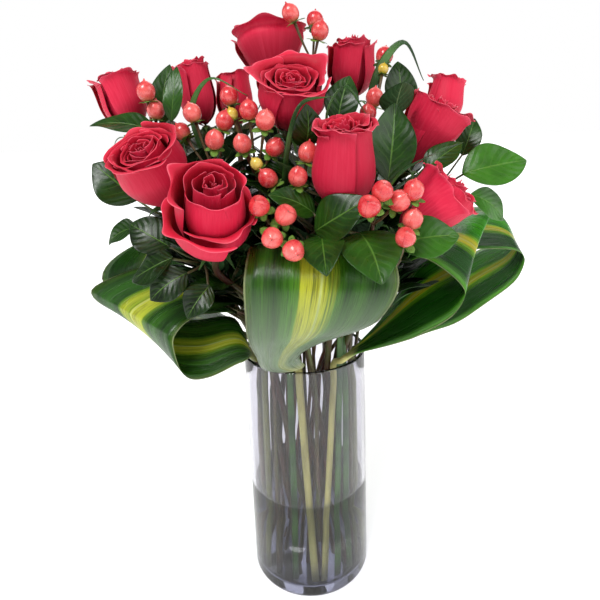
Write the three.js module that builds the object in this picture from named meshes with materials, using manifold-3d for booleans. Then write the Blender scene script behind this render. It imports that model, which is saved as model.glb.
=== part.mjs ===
// Twelve coral-red roses in a straight glass cylinder vase, with looped aspidistra leaves round the
// rim, hypericum berries, broad dark foliage and a few blades of lily grass.
// Millimetres, +Z up. The origin is the centre of the vase's flat base; the front of the
// arrangement faces -Y and +X is its right.

import * as THREE from 'three';
import { mergeVertices } from 'three/addons/utils/BufferGeometryUtils.js';
import Module from 'manifold-3d';

const wasm = await Module();
wasm.setup();

// ---------------------------------------------------------------- driving dimensions

const VASE = { radius: 50, height: 200, wall: 3, floor: 8, corner: 6, sides: 48 };
const WATER_LEVEL = 82;
const GAP = 0.35; // clear space left between two pieces that lie against each other
const STEM_FOOT = 13; // height of the cut ends of the stems
const PETIOLE = 2.9; // radius of an aspidistra leaf stalk
const ROSE_STEM = 2.4;
const BERRY_STEM = 1.5;
const LEAF_STEM = 1.6;
const GRASS_THICK = 0.45;
const BERRY = { radius: 6.4, tall: 14.5 };

// The stems stand in the vase in three nested rings. Each ring leans round by its own turn, so
// stems cross behind each other, as in a hand-tied bunch, and no two of them meet.
const RING = {
  outer: { radius: 41, turn: 0 },
  middle: { radius: 33, turn: 70 },
  inner: { radius: 20, turn: -60 },
};

const COLOUR = {
  glass: [0xa9a6b8, 0.06], water: [0xc4cad2, 0.05], petal: [0xcf3440, 0.6], stem: [0x6d8b3f, 0.55],
  aspidistra: [0x7f9c35, 0.35], berry: [0xe0695f, 0.25], foliage: [0x2f5730, 0.35],
  grass: [0x4f8436, 0.45],
};

// ---------------------------------------------------------------- where everything stands

// centre and axis of the flower head, width across the rim, height, how far it has opened
// (0 bud, 1 full), the compass angle at which its stem leaves the vase, and points that the stem
// passes on its way up.
const ROSES = [
  { centre: [-133, 10, 401], axis: [-0.24, 0, 0.97], across: 37, tall: 44, open: 0.6, rim: 183 },
  { centre: [-79, 35, 408], axis: [-0.16, 0, 0.98], across: 34, tall: 52, open: 0.1, rim: 155 },
  { centre: [-17, 25, 429], axis: [-0.08, 0.16, 0.98], across: 62, tall: 50, open: 0.9, rim: 95 },
  { centre: [-3, -35, 395], axis: [0.08, -0.58, 0.81], across: 54, tall: 46, open: 1, rim: 275 },
  { centre: [48, 40, 423], axis: [0.03, -0.1, 1], across: 41, tall: 46, open: 0.5, rim: 48 },
  { centre: [134, 75, 396], axis: [0.2, 0.1, 0.97], across: 36, tall: 44, open: 0.4, rim: 22,
    via: [[55, 40, 290]] },
  { centre: [97, -10, 369], axis: [0.5, -0.2, 0.84], across: 47, tall: 52, open: 0.6, rim: 348 },
  { centre: [28, -80, 354], axis: [0.02, -0.29, 0.96], across: 45, tall: 56, open: 0.5, rim: 299 },
  { centre: [-95, -60, 351], axis: [-0.2, -0.54, 0.82], across: 52, tall: 50, open: 0.9, rim: 211 },
  { centre: [-51, -97, 328], axis: [0.1, -0.6, 0.79], across: 52, tall: 54, open: 0.9, rim: 250,
    via: [[-24, -52, 250]] },
  { centre: [86, -60, 320], axis: [0.72, -0.15, 0.67], across: 44, tall: 50, open: 0.5, rim: 324,
    via: [[44, -42, 250], [58, -56, 286]] },
  { centre: [-52, 65, 404], axis: [-0.05, 0.25, 0.97], across: 35, tall: 46, open: 0.3, rim: 125 },
];

// Each leaf is a stalk in the vase and a blade that swings out, turns back over and tucks its tip
// in. Blade stations are [centre, vector from the centre line to one edge].
const ASPIDISTRA = {
  front: { rim: 263, foot: 273, stations: [
    [[-7, -59, 209], [7, 0, 2]], [[-15, -76, 221], [12, 0, 5]], [[-9, -93, 239], [22, 0, 4]],
    [[5, -107, 259], [40, 0, 2]], [[12, -107, 289], [46, 0, -4]], [[12, -89, 304], [43, 0, -3]],
    [[12, -72, 293], [30, 0, 0]], [[14, -60, 252], [5, 0, 0]]] },
  left: { rim: 220, foot: 216, stations: [
    [[-49, -37, 223], [-4, 13, 12]], [[-79, -42, 220], [-9, 20, 15]],
    [[-112, -45, 227], [-28, 26, 13]], [[-130, -37, 247], [-41, 37, 8]],
    [[-98, -28, 262], [-26, 33, 10]], [[-76, -34, 258], [-12, 20, 7]], [[-54, -38, 250], [-3, 6, 3]]] },
  left_back: { rim: 167, foot: 170, stations: [
    [[-72, 28, 207], [10, 18, 0]], [[-112, 50, 216], [16, 30, 0]], [[-145, 60, 262], [25, 38, 4]],
    [[-118, 52, 288], [20, 36, 0]], [[-84, 42, 286], [10, 24, 0]], [[-62, 34, 274], [3, 6, 0]]] },
  right: { rim: 303, foot: 282.5, stations: [
    [[56, -34, 224], [-7, -16, -7]], [[93, -32, 256], [-13, -30, -25]],
    [[121, -38, 275], [-17, -33, -24]], [[130, -37, 286], [-21, -36, -19]],
    [[113, -33, 297], [-26, -33, -11]], [[84, -28, 289], [-11, -22, -7]], [[66, -24, 278], [-2, -7, -2]]] },
  right_back: { rim: 340, foot: 343, stations: [
    [[66, -8, 210], [-1, -10, -3]], [[92, 8, 219], [-2, -20, -10]], [[126, 22, 230], [-2, -24, -15]],
    [[158, 30, 246], [-4, -24, -17]], [[182, 32, 260], [-3, -22, -12]], [[189, 33, 271], [-3, -21, -8]],
    [[180, 29, 283], [-2, -22, -10]], [[156, 24, 290], [-2, -22, -14]],
    [[122, 24, 286], [-2, -18, -12]], [[86, 26, 268], [0, -7, -2]]] },
  back_right: { rim: 62, foot: 60, stations: [
    [[40, 62, 208], [18, -10, 0]], [[62, 100, 222], [32, -18, 0]], [[72, 125, 258], [38, -22, 0]],
    [[60, 102, 285], [36, -20, 0]], [[44, 74, 285], [22, -12, 0]], [[34, 56, 270], [6, -4, 0]]] },
  back_left: { rim: 112, foot: 115, stations: [
    [[-24, 66, 208], [18, 8, 0]], [[-42, 104, 220], [32, 15, 0]], [[-55, 128, 254], [36, 17, 0]],
    [[-46, 108, 281], [34, 16, 0]], [[-34, 80, 282], [22, 10, 0]], [[-26, 60, 268], [6, 3, 0]]] },
};

// Sprays of hypericum: the compass angle at the rim, the fork of the twig and its berries.
const HYPERICUM = [
  { rim: 70, fork: [14, -1, 425], berries: [[-1, -5, 459], [17, 6, 456], [20, -6, 446]] },
  { rim: 195, fork: [-103, -18, 366], berries: [[-106, -20, 407], [-101, -17, 394]] },
  { rim: 218, fork: [-56, -44, 345],
    berries: [[-80, -33, 378], [-70, -42, 390], [-53, -62, 372], [-47, -52, 384]] },
  { rim: 266, fork: [-28, -48, 345],
    berries: [[-35, -64, 369], [-30, -60, 390], [-19, -72, 383], [-14, -66, 366], [-44, -44, 400]] },
  { rim: 290, fork: [0, -66, 322], via: [[12, -38, 255], [8, -52, 300]],
    berries: [[0, -82, 348], [7, -70, 362], [-19, -74, 347]] },
  { rim: 250, fork: [-16, -72, 313], via: [[-12, -46, 262], [-16, -58, 296]],
    berries: [[-23, -106, 334], [-8, -106, 328], [-16, -112, 316], [-4, -116, 309]] },
  { rim: 354, fork: [53, -16, 365], berries: [[57, -20, 397], [51, -28, 386], [69, 8, 429]] },
  { rim: 306, fork: [46, -82, 316], via: [[34, -52, 255], [46, -68, 296]],
    berries: [[47, -114, 341], [39, -117, 333], [58, -106, 334]] },
  { rim: 322, fork: [62, -88, 294], via: [[42, -56, 250]],
    berries: [[66, -107, 340], [66, -105, 323], [60, -114, 314]] },
  { rim: 20, fork: [60, 78, 330], berries: [[66, 92, 358], [54, 100, 352], [74, 98, 345]] },
];

// Foliage: the compass angle at the rim, the way of its stem, and leaves from base to tip with
// their width and the direction that the upper face looks in.
const FOLIAGE = [
  { rim: 280, foot: 279, low: 48, stem: [[-2, -50, 258], [4, -64, 302], [16, -82, 317]], leaves: [
    { from: [10, -82, 324], to: [-19, -87, 338], wide: 22, face: [0, -0.7, 0.7] },
    { from: [9, -92, 315], to: [41, -104, 336], wide: 30, face: [-0.4, -0.8, 0.5] },
    { from: [36, -94, 314], to: [44, -130, 291], wide: 38, face: [0, -0.6, 0.8] },
    { from: [13, -94, 313], to: [14, -126, 296], wide: 27, face: [-0.2, -0.4, 0.9] },
    { from: [58, -96, 306], to: [98, -92, 309], wide: 30, face: [0.1, -0.7, 0.7] }] },
  { rim: 352, foot: 354, stem: [[57, 8, 255], [82, 14, 298], [106, 0, 326]], leaves: [
    { from: [121, -22, 340], to: [170, -18, 348], wide: 40, face: [0, -0.75, 0.65] },
    { from: [125, -30, 326], to: [153, -22, 304], wide: 25, face: [0.2, -0.8, 0.5] },
    { from: [128, 0, 352], to: [140, 10, 380], wide: 20, face: [-0.3, -0.9, 0.3] }] },
  { rim: 233, foot: 231, stem: [[-38, -44, 250], [-67, -54, 288]], leaves: [
    { from: [-88, -62, 302], to: [-117, -52, 317], wide: 28, face: [-0.2, -0.7, 0.7] },
    { from: [-84, -72, 297], to: [-114, -68, 281], wide: 30, face: [-0.2, -0.6, 0.7] },
    { from: [-74, -78, 288], to: [-98, -84, 272], wide: 26, face: [0, -0.8, 0.6] },
    { from: [-58, -88, 282], to: [-72, -98, 264], wide: 20, face: [0.2, -0.8, 0.6] }] },
  { rim: 200, foot: 202, stem: [[-50, -2, 260], [-75, -12, 330], [-86, -12, 366]], leaves: [
    { from: [-96, -38, 378], to: [-143, -36, 384], wide: 24, face: [0, -0.6, 0.8] },
    { from: [-89, -24, 385], to: [-84, -14, 424], wide: 15, face: [0, -1, 0.1] },
    { from: [-100, -6, 384], to: [-93, 4, 428], wide: 20, face: [0.3, -1, 0.1] }] },
  { rim: 190, foot: 191, stem: [[-60, -14, 275], [-94, -26, 314]], leaves: [
    { from: [-115, -36, 331], to: [-145, -33, 358], wide: 34, face: [-0.1, -0.9, 0.4] },
    { from: [-120, -28, 310], to: [-146, -18, 296], wide: 22, face: [-0.2, -0.6, 0.8] }] },
  { rim: 328, foot: 326, stem: [[41, -28, 262], [50, -46, 315]], leaves: [
    { from: [60, -58, 340], to: [67, -44, 392], wide: 33, face: [0.1, -1, 0.2] },
    { from: [90, -34, 345], to: [118, -30, 363], wide: 22, face: [-0.3, -0.7, 0.6] }] },
  { rim: 30, foot: 28, stem: [[50, 10, 300], [73, 6, 365]], leaves: [
    { from: [80, 4, 388], to: [80, 12, 425], wide: 28, face: [0.2, -1, 0.2] },
    { from: [62, 16, 350], to: [86, 40, 372], wide: 26, face: [0.2, 0.2, 1] }] },
  { rim: 338, ring: 'inner', stem: [[16, -36, 290], [18, -46, 348]], leaves: [
    { from: [28, -46, 378], to: [38, -36, 411], wide: 24, face: [0, -1, 0.3] },
    { from: [5, -60, 364], to: [7, -72, 392], wide: 22, face: [0.2, -1, -0.2] }] },
  { rim: 90, foot: 92, stem: [[4, 56, 290], [2, 76, 340]], leaves: [
    { from: [6, 86, 352], to: [22, 112, 384], wide: 36, face: [0.1, 0.7, 0.6] },
    { from: [-4, 84, 346], to: [-28, 118, 352], wide: 34, face: [-0.2, 0.5, 0.8] },
    { from: [4, 84, 330], to: [22, 120, 318], wide: 34, face: [0.2, 0.7, 0.7] }] },
  { rim: 142, foot: 144, stem: [[-56, 44, 288], [-84, 62, 335]], leaves: [
    { from: [-90, 66, 345], to: [-124, 84, 362], wide: 34, face: [-0.4, 0.5, 0.8] },
    { from: [-84, 70, 330], to: [-104, 104, 322], wide: 32, face: [-0.3, 0.7, 0.7] },
    { from: [-90, 60, 352], to: [-112, 52, 390], wide: 26, face: [-0.8, 0, 0.6] }] },
];

// Lily grass: blades that rise, bow over and point down again, with their width.
const LILY_GRASS = [
  { rim: 234, ring: 'inner', wide: 5,
    way: [[-44, -14, 300], [-72, -20, 372], [-72, -27, 397], [-58, -31, 413], [-32, -42, 400]] },
  { rim: 12, foot: 10, wide: 8, way: [[50, -2, 330], [62, -2, 415], [82, 0, 437], [100, 12, 410]] },
  { rim: 254, foot: 252, wide: 5,
    way: [[-10, -50, 300], [-6, -73, 364], [4, -73, 392], [24, -66, 396]] },
  { rim: 319, foot: 314, wide: 5,
    way: [[27, -40, 300], [28, -50, 345], [20, -65, 386], [32, -63, 402], [45, -66, 384]] },
  { rim: 311, foot: 298, wide: 6,
    way: [[30, -38, 240], [46, -58, 292], [60, -88, 346], [82, -82, 358], [110, -56, 364]] },
];

// ---------------------------------------------------------------- small helpers

const v = (p) => new THREE.Vector3(...p);
const rad = THREE.MathUtils.degToRad;
const mix = THREE.MathUtils.lerp;
const polar = (radius, degrees, z) => v([radius * Math.cos(rad(degrees)), radius * Math.sin(rad(degrees)), z]);

// Closed skin over rings of equally many points; both ends are closed by a fan. On a flat blade the
// under side is split along the same diagonals as the upper side, so the two never cross in a twist.
function skin(rings, flat = false) {
  const n = rings[0].length;
  const points = rings.flat();
  const index = [];
  for (let i = 0; i < rings.length - 1; i++) {
    for (let j = 0; j < n; j++) {
      const a = i * n + j;
      const b = i * n + ((j + 1) % n);
      if (flat && j >= n / 2) index.push(a, b, a + n, b, b + n, a + n);
      else index.push(a, b, b + n, a, b + n, a + n);
    }
  }
  for (const [first, turned] of [[0, true], [(rings.length - 1) * n, false]]) {
    const middle = points.length;
    const centre = new THREE.Vector3();
    for (let j = 0; j < n; j++) centre.addScaledVector(points[first + j], 1 / n);
    points.push(centre);
    for (let j = 0; j < n; j++) {
      const a = first + j;
      const b = first + ((j + 1) % n);
      index.push(middle, turned ? b : a, turned ? a : b);
    }
  }
  const geometry = new THREE.BufferGeometry().setFromPoints(points);
  geometry.setIndex(index);
  return geometry;
}

// Points along a smooth curve: one per straight span at the start, `fine` per span after that.
function along(points, straight = 0, fine = 2) {
  const curve = new THREE.CatmullRomCurve3(points, false, 'centripetal');
  const spans = points.length - 1;
  const out = [];
  for (let i = 0; i < spans; i++) {
    const steps = i < straight ? 1 : fine;
    for (let k = 0; k < steps; k++) out.push(curve.getPoint((i + k / steps) / spans));
  }
  out.push(points[spans]);
  return out;
}

const direction = (path, i) =>
  path[Math.min(i + 1, path.length - 1)].clone().sub(path[Math.max(i - 1, 0)]).normalize();

// Round rod along a path, `radius` may change along it.
function rod(path, radius, sides = 5) {
  let across = new THREE.Vector3(1, 0.2, 0.1);
  const rings = path.map((p, i) => {
    const t = direction(path, i);
    across = across.clone().addScaledVector(t, -across.dot(t)).normalize();
    const up = t.clone().cross(across);
    const r = typeof radius === 'number' ? radius : radius(i / (path.length - 1));
    return Array.from({ length: sides }, (_, k) => {
      const a = (2 * Math.PI * k) / sides;
      return p.clone().addScaledVector(across, r * Math.cos(a)).addScaledVector(up, r * Math.sin(a));
    });
  });
  return skin(rings);
}

// Flat blade: at each station a lens-shaped section from one edge to the other.
function blade(centres, halves, thickness) {
  const rings = centres.map((c, i) => {
    const t = direction(centres, i);
    const half = halves[i];
    const normal = t.clone().cross(half).normalize();
    const at = (s, n) => c.clone().addScaledVector(half, s).addScaledVector(normal, n * thickness(i));
    return [at(1, 0), at(0.5, 1), at(-0.5, 1), at(-1, 0), at(-0.5, -1), at(0.5, -1)];
  });
  return skin(rings, true);
}

// Solid of revolution about an axis through `base`; `shape(angle, k)` gives radius and height.
function turned(base, axis, sides, count, shape) {
  const lie = new THREE.Quaternion().setFromUnitVectors(v([0, 0, 1]), axis);
  const rings = Array.from({ length: count }, (_, k) => Array.from({ length: sides }, (_, j) => {
    const angle = (2 * Math.PI * j) / sides;
    const [r, z] = shape(angle, k);
    return v([r * Math.cos(angle), r * Math.sin(angle), z]).applyQuaternion(lie).add(base);
  }));
  return skin(rings);
}

// The straight run of a stem inside the vase, from its foot to just below the rim.
function inVase({ rim, foot, ring = 'outer', low = STEM_FOOT }) {
  const { radius, turn } = RING[ring];
  const top = polar(radius, rim, VASE.height);
  const bottom = polar(radius, foot ?? rim + turn, STEM_FOOT);
  const at = (z) => bottom.clone().lerp(top, (z - STEM_FOOT) / (VASE.height - STEM_FOOT));
  return [at(low), at(mix(low, 185, 0.6)), at(185)];
}

// ---------------------------------------------------------------- pieces

function vase() {
  const { radius: R, height: H, wall, floor, corner } = VASE;
  const inner = R - wall;
  const profile = [
    [0, 0], [R - corner, 0], [R - 1.8, 1.8], [R, corner], [R, H - 1.2], [R - 0.8, H],
    [inner + 0.8, H], [inner, H - 1.2], [inner, floor + 7], [inner - 2, floor + 2],
    [inner - 7, floor], [0, floor],
  ].map(([r, z]) => new THREE.Vector2(r, z));
  const geometry = new THREE.LatheGeometry(profile, VASE.sides);
  return geometry.rotateX(Math.PI / 2);
}

function water() {
  const R = VASE.radius - VASE.wall - GAP;
  const floor = VASE.floor + GAP;
  const profile = [
    [0, floor], [R - 7, floor], [R - 2, floor + 2], [R, floor + 7], [R, WATER_LEVEL], [0, WATER_LEVEL],
  ].map(([r, z]) => new THREE.Vector2(r, z));
  return new THREE.LatheGeometry(profile, VASE.sides).rotateX(Math.PI / 2);
}

const hipOf = (rose) => v(rose.centre).addScaledVector(v(rose.axis).normalize(), -rose.tall / 2 - 2.4);

// Flower head: a cup of overlapping petals as one solid, with a wavy rim and a spiral heart.
function bloom(rose) {
  const { across, tall, open } = rose;
  const R = across / 2;
  const profile = [
    [0.22, 0], [mix(0.66, 0.5, open), 0.08], [mix(1, 0.8, open), 0.4], [mix(0.76, 1, open), 0.92],
    [mix(0.58, 0.84, open), 0.98], [mix(0.34, 0.5, open), 0.86], [mix(0.12, 0.16, open), 0.95],
  ];
  return turned(hipOf(rose), v(rose.axis).normalize(), 12, profile.length, (angle, k) => {
    const [r, z] = profile[k];
    const rimShare = k < 3 ? 0 : 1;
    const wave = 0.05 * rimShare * Math.cos(3 * angle + k);
    const spiral = k > 4 ? 0.07 * (((angle / (2 * Math.PI) + k / 3) % 1) - 0.5) : 0;
    return [R * r * (1 + wave), 2.4 + tall * (z + 0.5 * wave + spiral)];
  });
}

// Rose stem with its hip and five sepals.
function roseStem(rose) {
  const axis = v(rose.axis).normalize();
  const hip = hipOf(rose);
  const lower = inVase({ ...rose, ring: 'middle' });
  const path = along([
    ...lower, ...(rose.via ?? []).map(v), hip.clone().addScaledVector(axis, -28),
    hip.clone().addScaledVector(axis, -5),
  ], 2);
  const star = [[2.2, 2.2, -11], [3, 3, -8], [5.4, 5.4, -4], [5.6, 6, -2.8], [5, 14, -1.6],
    [4.6, 13, -0.6], [4, 4, -0.2], [2.6, 2.6, 2]];
  const receptacle = turned(hip, axis, 10, star.length, (angle, k) => {
    const tip = Math.round((angle * 10) / (2 * Math.PI)) % 2 === 1;
    return [star[k][tip ? 1 : 0], star[k][2]];
  });
  return [rod(path, ROSE_STEM), receptacle];
}

// Aspidistra leaf: stalk and blade in one skin. The stalk bends over the rim of the vase.
function aspidistra(leaf) {
  const lower = [
    ...inVase(leaf), polar(RING.outer.radius + 0.5, leaf.rim, VASE.height + 0.5),
    polar(VASE.radius + 1.5, leaf.rim, VASE.height + PETIOLE + 3.5),
  ];
  const stations = leaf.stations.map(([c, h]) => [v(c), v(h)]);
  const side = stations[0][1].clone().setZ(0).normalize();
  const centres = along([...lower, ...stations.map((s) => s[0])], 4, 2);
  const halves = along([
    ...lower.map(() => side.clone().multiplyScalar(PETIOLE)), ...stations.map((s) => s[1]),
  ], 4, 2);
  const thick = (i) => mix(2.4, 0.6, THREE.MathUtils.clamp(halves[i].length() / 14 - 0.25, 0, 1));
  return [blade(centres, halves, thick)];
}

// One berry on its pedicel, with a small calyx under it.
function berry(fork, spot) {
  const centre = v(spot);
  const axis = centre.clone().sub(fork).normalize();
  const start = centre.clone().addScaledVector(axis, -BERRY.tall / 2);
  const shape = [[1.2, 0], [5.2, 2.8], [BERRY.radius, 7.6], [4.8, 12], [0.8, BERRY.tall]];
  const bow = fork.clone().lerp(start, 0.5).add(v([0, 0, -1.5]));
  return [
    turned(start, axis, 6, shape.length, (_, k) => shape[k]),
    rod([fork, bow, start.clone().addScaledVector(axis, 2)], 1, 3),
  ];
}

function hypericum(spray) {
  const fork = v(spray.fork);
  const path = along([...inVase({ ...spray, ring: 'inner' }), ...(spray.via ?? []).map(v), fork], 2);
  return [rod(path, BERRY_STEM), ...spray.berries.flatMap((spot) => berry(fork, spot))];
}

// Broad leaf from base to tip, slightly arched, with its upper side looking to `face`.
function broadLeaf({ from, to, wide, face }) {
  const a = v(from);
  const b = v(to);
  const run = b.clone().sub(a);
  const look = v(face).addScaledVector(run, -v(face).dot(run) / run.lengthSq()).normalize();
  const side = run.clone().cross(look).normalize();
  const widths = [[0, 0.07], [0.18, 0.66], [0.45, 1], [0.76, 0.72], [1, 0.03]];
  const centres = widths.map(([t]) =>
    a.clone().addScaledVector(run, t).addScaledVector(look, 0.35 * run.length() * t * (1 - t)));
  const halves = widths.map(([, w]) => side.clone().multiplyScalar((wide / 2) * w));
  return blade(centres, halves, () => 0.55);
}

function foliage(branch) {
  const lower = inVase(branch);
  const path = along([...lower, ...branch.stem.map(v)], 2);
  const pieces = [rod(path, LEAF_STEM)];
  for (const leaf of branch.leaves) {
    const base = v(leaf.from);
    const upper = path.slice(lower.length);
    const joint = upper.reduce((best, p) => (p.distanceTo(base) < best.distanceTo(base) ? p : best));
    const inwards = v(leaf.to).sub(base).normalize();
    pieces.push(rod([joint, base.clone().addScaledVector(inwards, 3)], 1, 3), broadLeaf(leaf));
  }
  return pieces;
}

function lilyGrass(strand) {
  const lower = inVase(strand);
  const centres = along([...lower, ...strand.way.map(v)], 2);
  const out = v([...strand.way[2]]).setZ(0).normalize();
  const side = v([-out.y, out.x, 0]);
  const halves = centres.map((_, i) => {
    const t = i / (centres.length - 1);
    return side.clone().multiplyScalar((strand.wide / 2) * (t > 0.8 ? mix(1, 0.1, (t - 0.8) / 0.2) : 1));
  });
  return [blade(centres, halves, () => GRASS_THICK)];
}

// ---------------------------------------------------------------- fitting the pieces together

function toManifold(geometry) {
  const bare = geometry.clone();
  bare.deleteAttribute('normal');
  bare.deleteAttribute('uv');
  const welded = mergeVertices(bare, 1e-4);
  return new wasm.Manifold(new wasm.Mesh({
    numProp: 3,
    vertProperties: Float32Array.from(welded.attributes.position.array),
    triVerts: Uint32Array.from(welded.index.array),
  }));
}

function toGeometry(solid) {
  const { vertProperties, triVerts } = solid.getMesh();
  const geometry = new THREE.BufferGeometry();
  geometry.setAttribute('position', new THREE.BufferAttribute(Float32Array.from(vertProperties), 3));
  geometry.setIndex(Array.from(triVerts));
  return geometry;
}

// The same solid with every face moved outwards by about the clear gap: each vertex goes along its
// mean normal, further where the faces round it meet at a sharp edge.
function grown(geometry, gap = GAP) {
  const fat = geometry.clone();
  fat.computeVertexNormals();
  const { position, normal } = fat.attributes;
  const at = (i) => new THREE.Vector3().fromBufferAttribute(position, i);
  const steepest = new Float32Array(position.count).fill(1);
  const face = new THREE.Triangle();
  const across = new THREE.Vector3();
  for (let i = 0; i < fat.index.count; i += 3) {
    const corners = [0, 1, 2].map((k) => fat.index.getX(i + k));
    face.set(...corners.map(at)).getNormal(across);
    for (const c of corners) {
      const n = new THREE.Vector3().fromBufferAttribute(normal, c);
      steepest[c] = Math.min(steepest[c], Math.max(n.dot(across), 0.6));
    }
  }
  const moved = steepest.map((_, i) => gap / steepest[i]);
  const out = position.clone();
  for (let i = 0; i < position.count; i++) {
    out.setXYZ(i, position.getX(i) + moved[i] * normal.getX(i), position.getY(i) + moved[i] * normal.getY(i),
      position.getZ(i) + moved[i] * normal.getZ(i));
  }
  fat.setAttribute('position', out);
  return fat;
}

const union = (geometries) => geometries.map(toManifold).reduce((all, one) => all.add(one));
const largest = (solid) => solid.decompose().sort((a, b) => b.volume() - a.volume())[0];

const number = (i) => String(i + 1).padStart(2, '0');

// Pieces in the order in which they are put in: each one gives way to all before it.
const pieces = [
  { name: 'vase', slot: 'glass', solids: [vase()] },
  ...ROSES.map((r, i) => ({ name: `rose_${number(i)}_stem`, slot: 'stem', solids: roseStem(r) })),
  ...Object.entries(ASPIDISTRA).map(([place, leaf]) => (
    { name: `aspidistra_${place}`, slot: 'aspidistra', solids: aspidistra(leaf) })),
  ...HYPERICUM.map((s, i) => ({ name: `hypericum_${number(i)}`, slot: 'berry', solids: hypericum(s) })),
  ...FOLIAGE.map((b, i) => ({ name: `foliage_${number(i)}`, slot: 'foliage', solids: foliage(b) })),
  ...LILY_GRASS.map((g, i) => ({ name: `grass_${number(i)}`, slot: 'grass', solids: lilyGrass(g) })),
  ...ROSES.map((r, i) => ({ name: `rose_${number(i)}_bloom`, slot: 'petal', solids: [bloom(r)] })),
  { name: 'water', slot: 'water', solids: [water()] },
];

const group = new THREE.Group();
group.name = 'roses_in_a_vase';
const placed = [];
for (const piece of pieces) {
  let solid = union(piece.solids);
  const before = solid.volume();
  const box = new THREE.Box3().setFromBufferAttribute(toGeometry(solid).attributes.position);
  for (const other of placed) {
    if (!box.intersectsBox(other.box)) continue;
    solid = solid.subtract(other.fat);
    if (solid.intersect(other.solid).volume() > 0) solid = solid.subtract(other.solid);
  }
  solid = largest(solid);
  if (piece.slot !== 'water') solid = solid.simplify(0.04);
  const geometry = toGeometry(solid);
  const fat = toManifold(grown(geometry));
  placed.push({ solid, fat, box: box.clone().expandByScalar(1) });
  const [color, roughness] = COLOUR[piece.slot];
  const material = new THREE.MeshStandardMaterial({ color, roughness, metalness: 0 });
  geometry.computeVertexNormals();
  const mesh = new THREE.Mesh(geometry, material);
  mesh.name = piece.name;
  mesh.userData.kept = solid.volume() / before; // share of the piece left after fitting
  group.add(mesh);
}

export default group;
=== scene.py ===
"""Coral-red roses in a straight glass vase, with looped aspidistra leaves, hypericum berries,
broad dark foliage and lily grass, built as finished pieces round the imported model.

Layout sizes are millimetres in the model's own frame: +Z up, the front faces -Y, the origin is
the centre of the vase's flat base. Meshes are scaled to metres as they are made.
"""

import logging
import math
import random
from dataclasses import dataclass
from enum import Enum
from functools import partial
from typing import Callable, Sequence

import bpy
from mathutils import Matrix, Quaternion, Vector


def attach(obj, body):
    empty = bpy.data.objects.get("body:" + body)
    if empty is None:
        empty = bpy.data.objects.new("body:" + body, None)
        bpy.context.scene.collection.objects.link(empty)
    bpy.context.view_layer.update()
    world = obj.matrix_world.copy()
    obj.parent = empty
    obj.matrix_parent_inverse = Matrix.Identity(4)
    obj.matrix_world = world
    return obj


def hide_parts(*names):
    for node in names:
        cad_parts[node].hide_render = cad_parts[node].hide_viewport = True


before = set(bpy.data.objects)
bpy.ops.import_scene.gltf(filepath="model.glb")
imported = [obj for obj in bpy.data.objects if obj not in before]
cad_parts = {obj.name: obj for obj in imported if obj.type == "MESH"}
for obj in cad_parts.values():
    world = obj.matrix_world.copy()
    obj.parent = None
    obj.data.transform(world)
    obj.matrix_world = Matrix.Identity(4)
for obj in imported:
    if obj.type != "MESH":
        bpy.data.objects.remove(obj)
bpy.ops.object.select_all(action="DESELECT")
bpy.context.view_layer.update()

logging.basicConfig(level=logging.INFO, format="%(message)s")
log = logging.getLogger("roses")

MM = 0.001
Point = Sequence[float]
GOLDEN_ANGLE = math.radians(137.508)
TURN = 6.28
Z_AXIS = Vector((0, 0, 1))
WHITE = (1, 1, 1, 1)

# ------------------------------------------------------------------ vase and bunch, as built

VASE_RADIUS = 50.0
VASE_HEIGHT = 200.0
# Heights of the stems' cut ends, and of the last point at which they run straight in the glass.
STEM_FOOT = 13.0
RIM_RUN_END = 185.0
# Half width of a blade's stalk, and radii of the stems.
PETIOLE = 2.9
ROSE_STEM = 2.4
BERRY_STEM = 1.5
LEAF_STEM = 1.6
TWIG = 0.8
# Thickness of leaves and sepals, and of petals; points closer than WELD become one.
LEAF_SKIN = 0.35
PETAL_SKIN = 0.3
WELD = 0.004
# The height that the ramp of painted reflection on the blades counts as 1, and where the front
# is seen from.
FULL_HEIGHT = 400.0
FRONT_EYE = Vector((0, -398, 376))


class Ring(Enum):
    """The nested rings in which the stems stand: radius in mm and lean in degrees."""

    OUTER = (41.0, 0.0)
    MIDDLE = (33.0, 70.0)
    INNER = (20.0, -60.0)


class Slot(Enum):
    """The record's material slots."""

    GLASS = "glass"
    WATER = "water"
    STEM = "stem"
    ASPIDISTRA = "aspidistra"
    BERRY = "berry"
    FOLIAGE = "foliage"
    GRASS = "grass"
    PETAL = "petal"


# ------------------------------------------------------------------ small helpers


def mix(a: float, b: float, t: float) -> float:
    """Blends from a to b."""
    return a + (b - a) * t


def clamp(x: float, lo: float = 0.0, hi: float = 1.0) -> float:
    """Keeps x between lo and hi."""
    return max(lo, min(hi, x))


def smooth(lo: float, hi: float, x: float) -> float:
    """Rises smoothly from 0 at lo to 1 at hi."""
    t = clamp((x - lo) / (hi - lo))
    return t * t * (3 - 2 * t)


def polar(radius: float, degrees: float, z: float) -> Vector:
    """A point at a compass angle from the vase's axis."""
    a = math.radians(degrees)
    return Vector((radius * math.cos(a), radius * math.sin(a), z))


def linear(hex_colour: str) -> tuple[float, float, float, float]:
    """Turns an sRGB hex colour into linear RGBA.

    Args:
        hex_colour: six hex digits after a #.
    Returns:
        The linear colour with alpha 1.
    """
    parts = [int(hex_colour[i : i + 2], 16) / 255 for i in (1, 3, 5)]
    rgb = [c / 12.92 if c <= 0.04045 else ((c + 0.055) / 1.055) ** 2.4 for c in parts]
    return (*rgb, 1.0)


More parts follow.
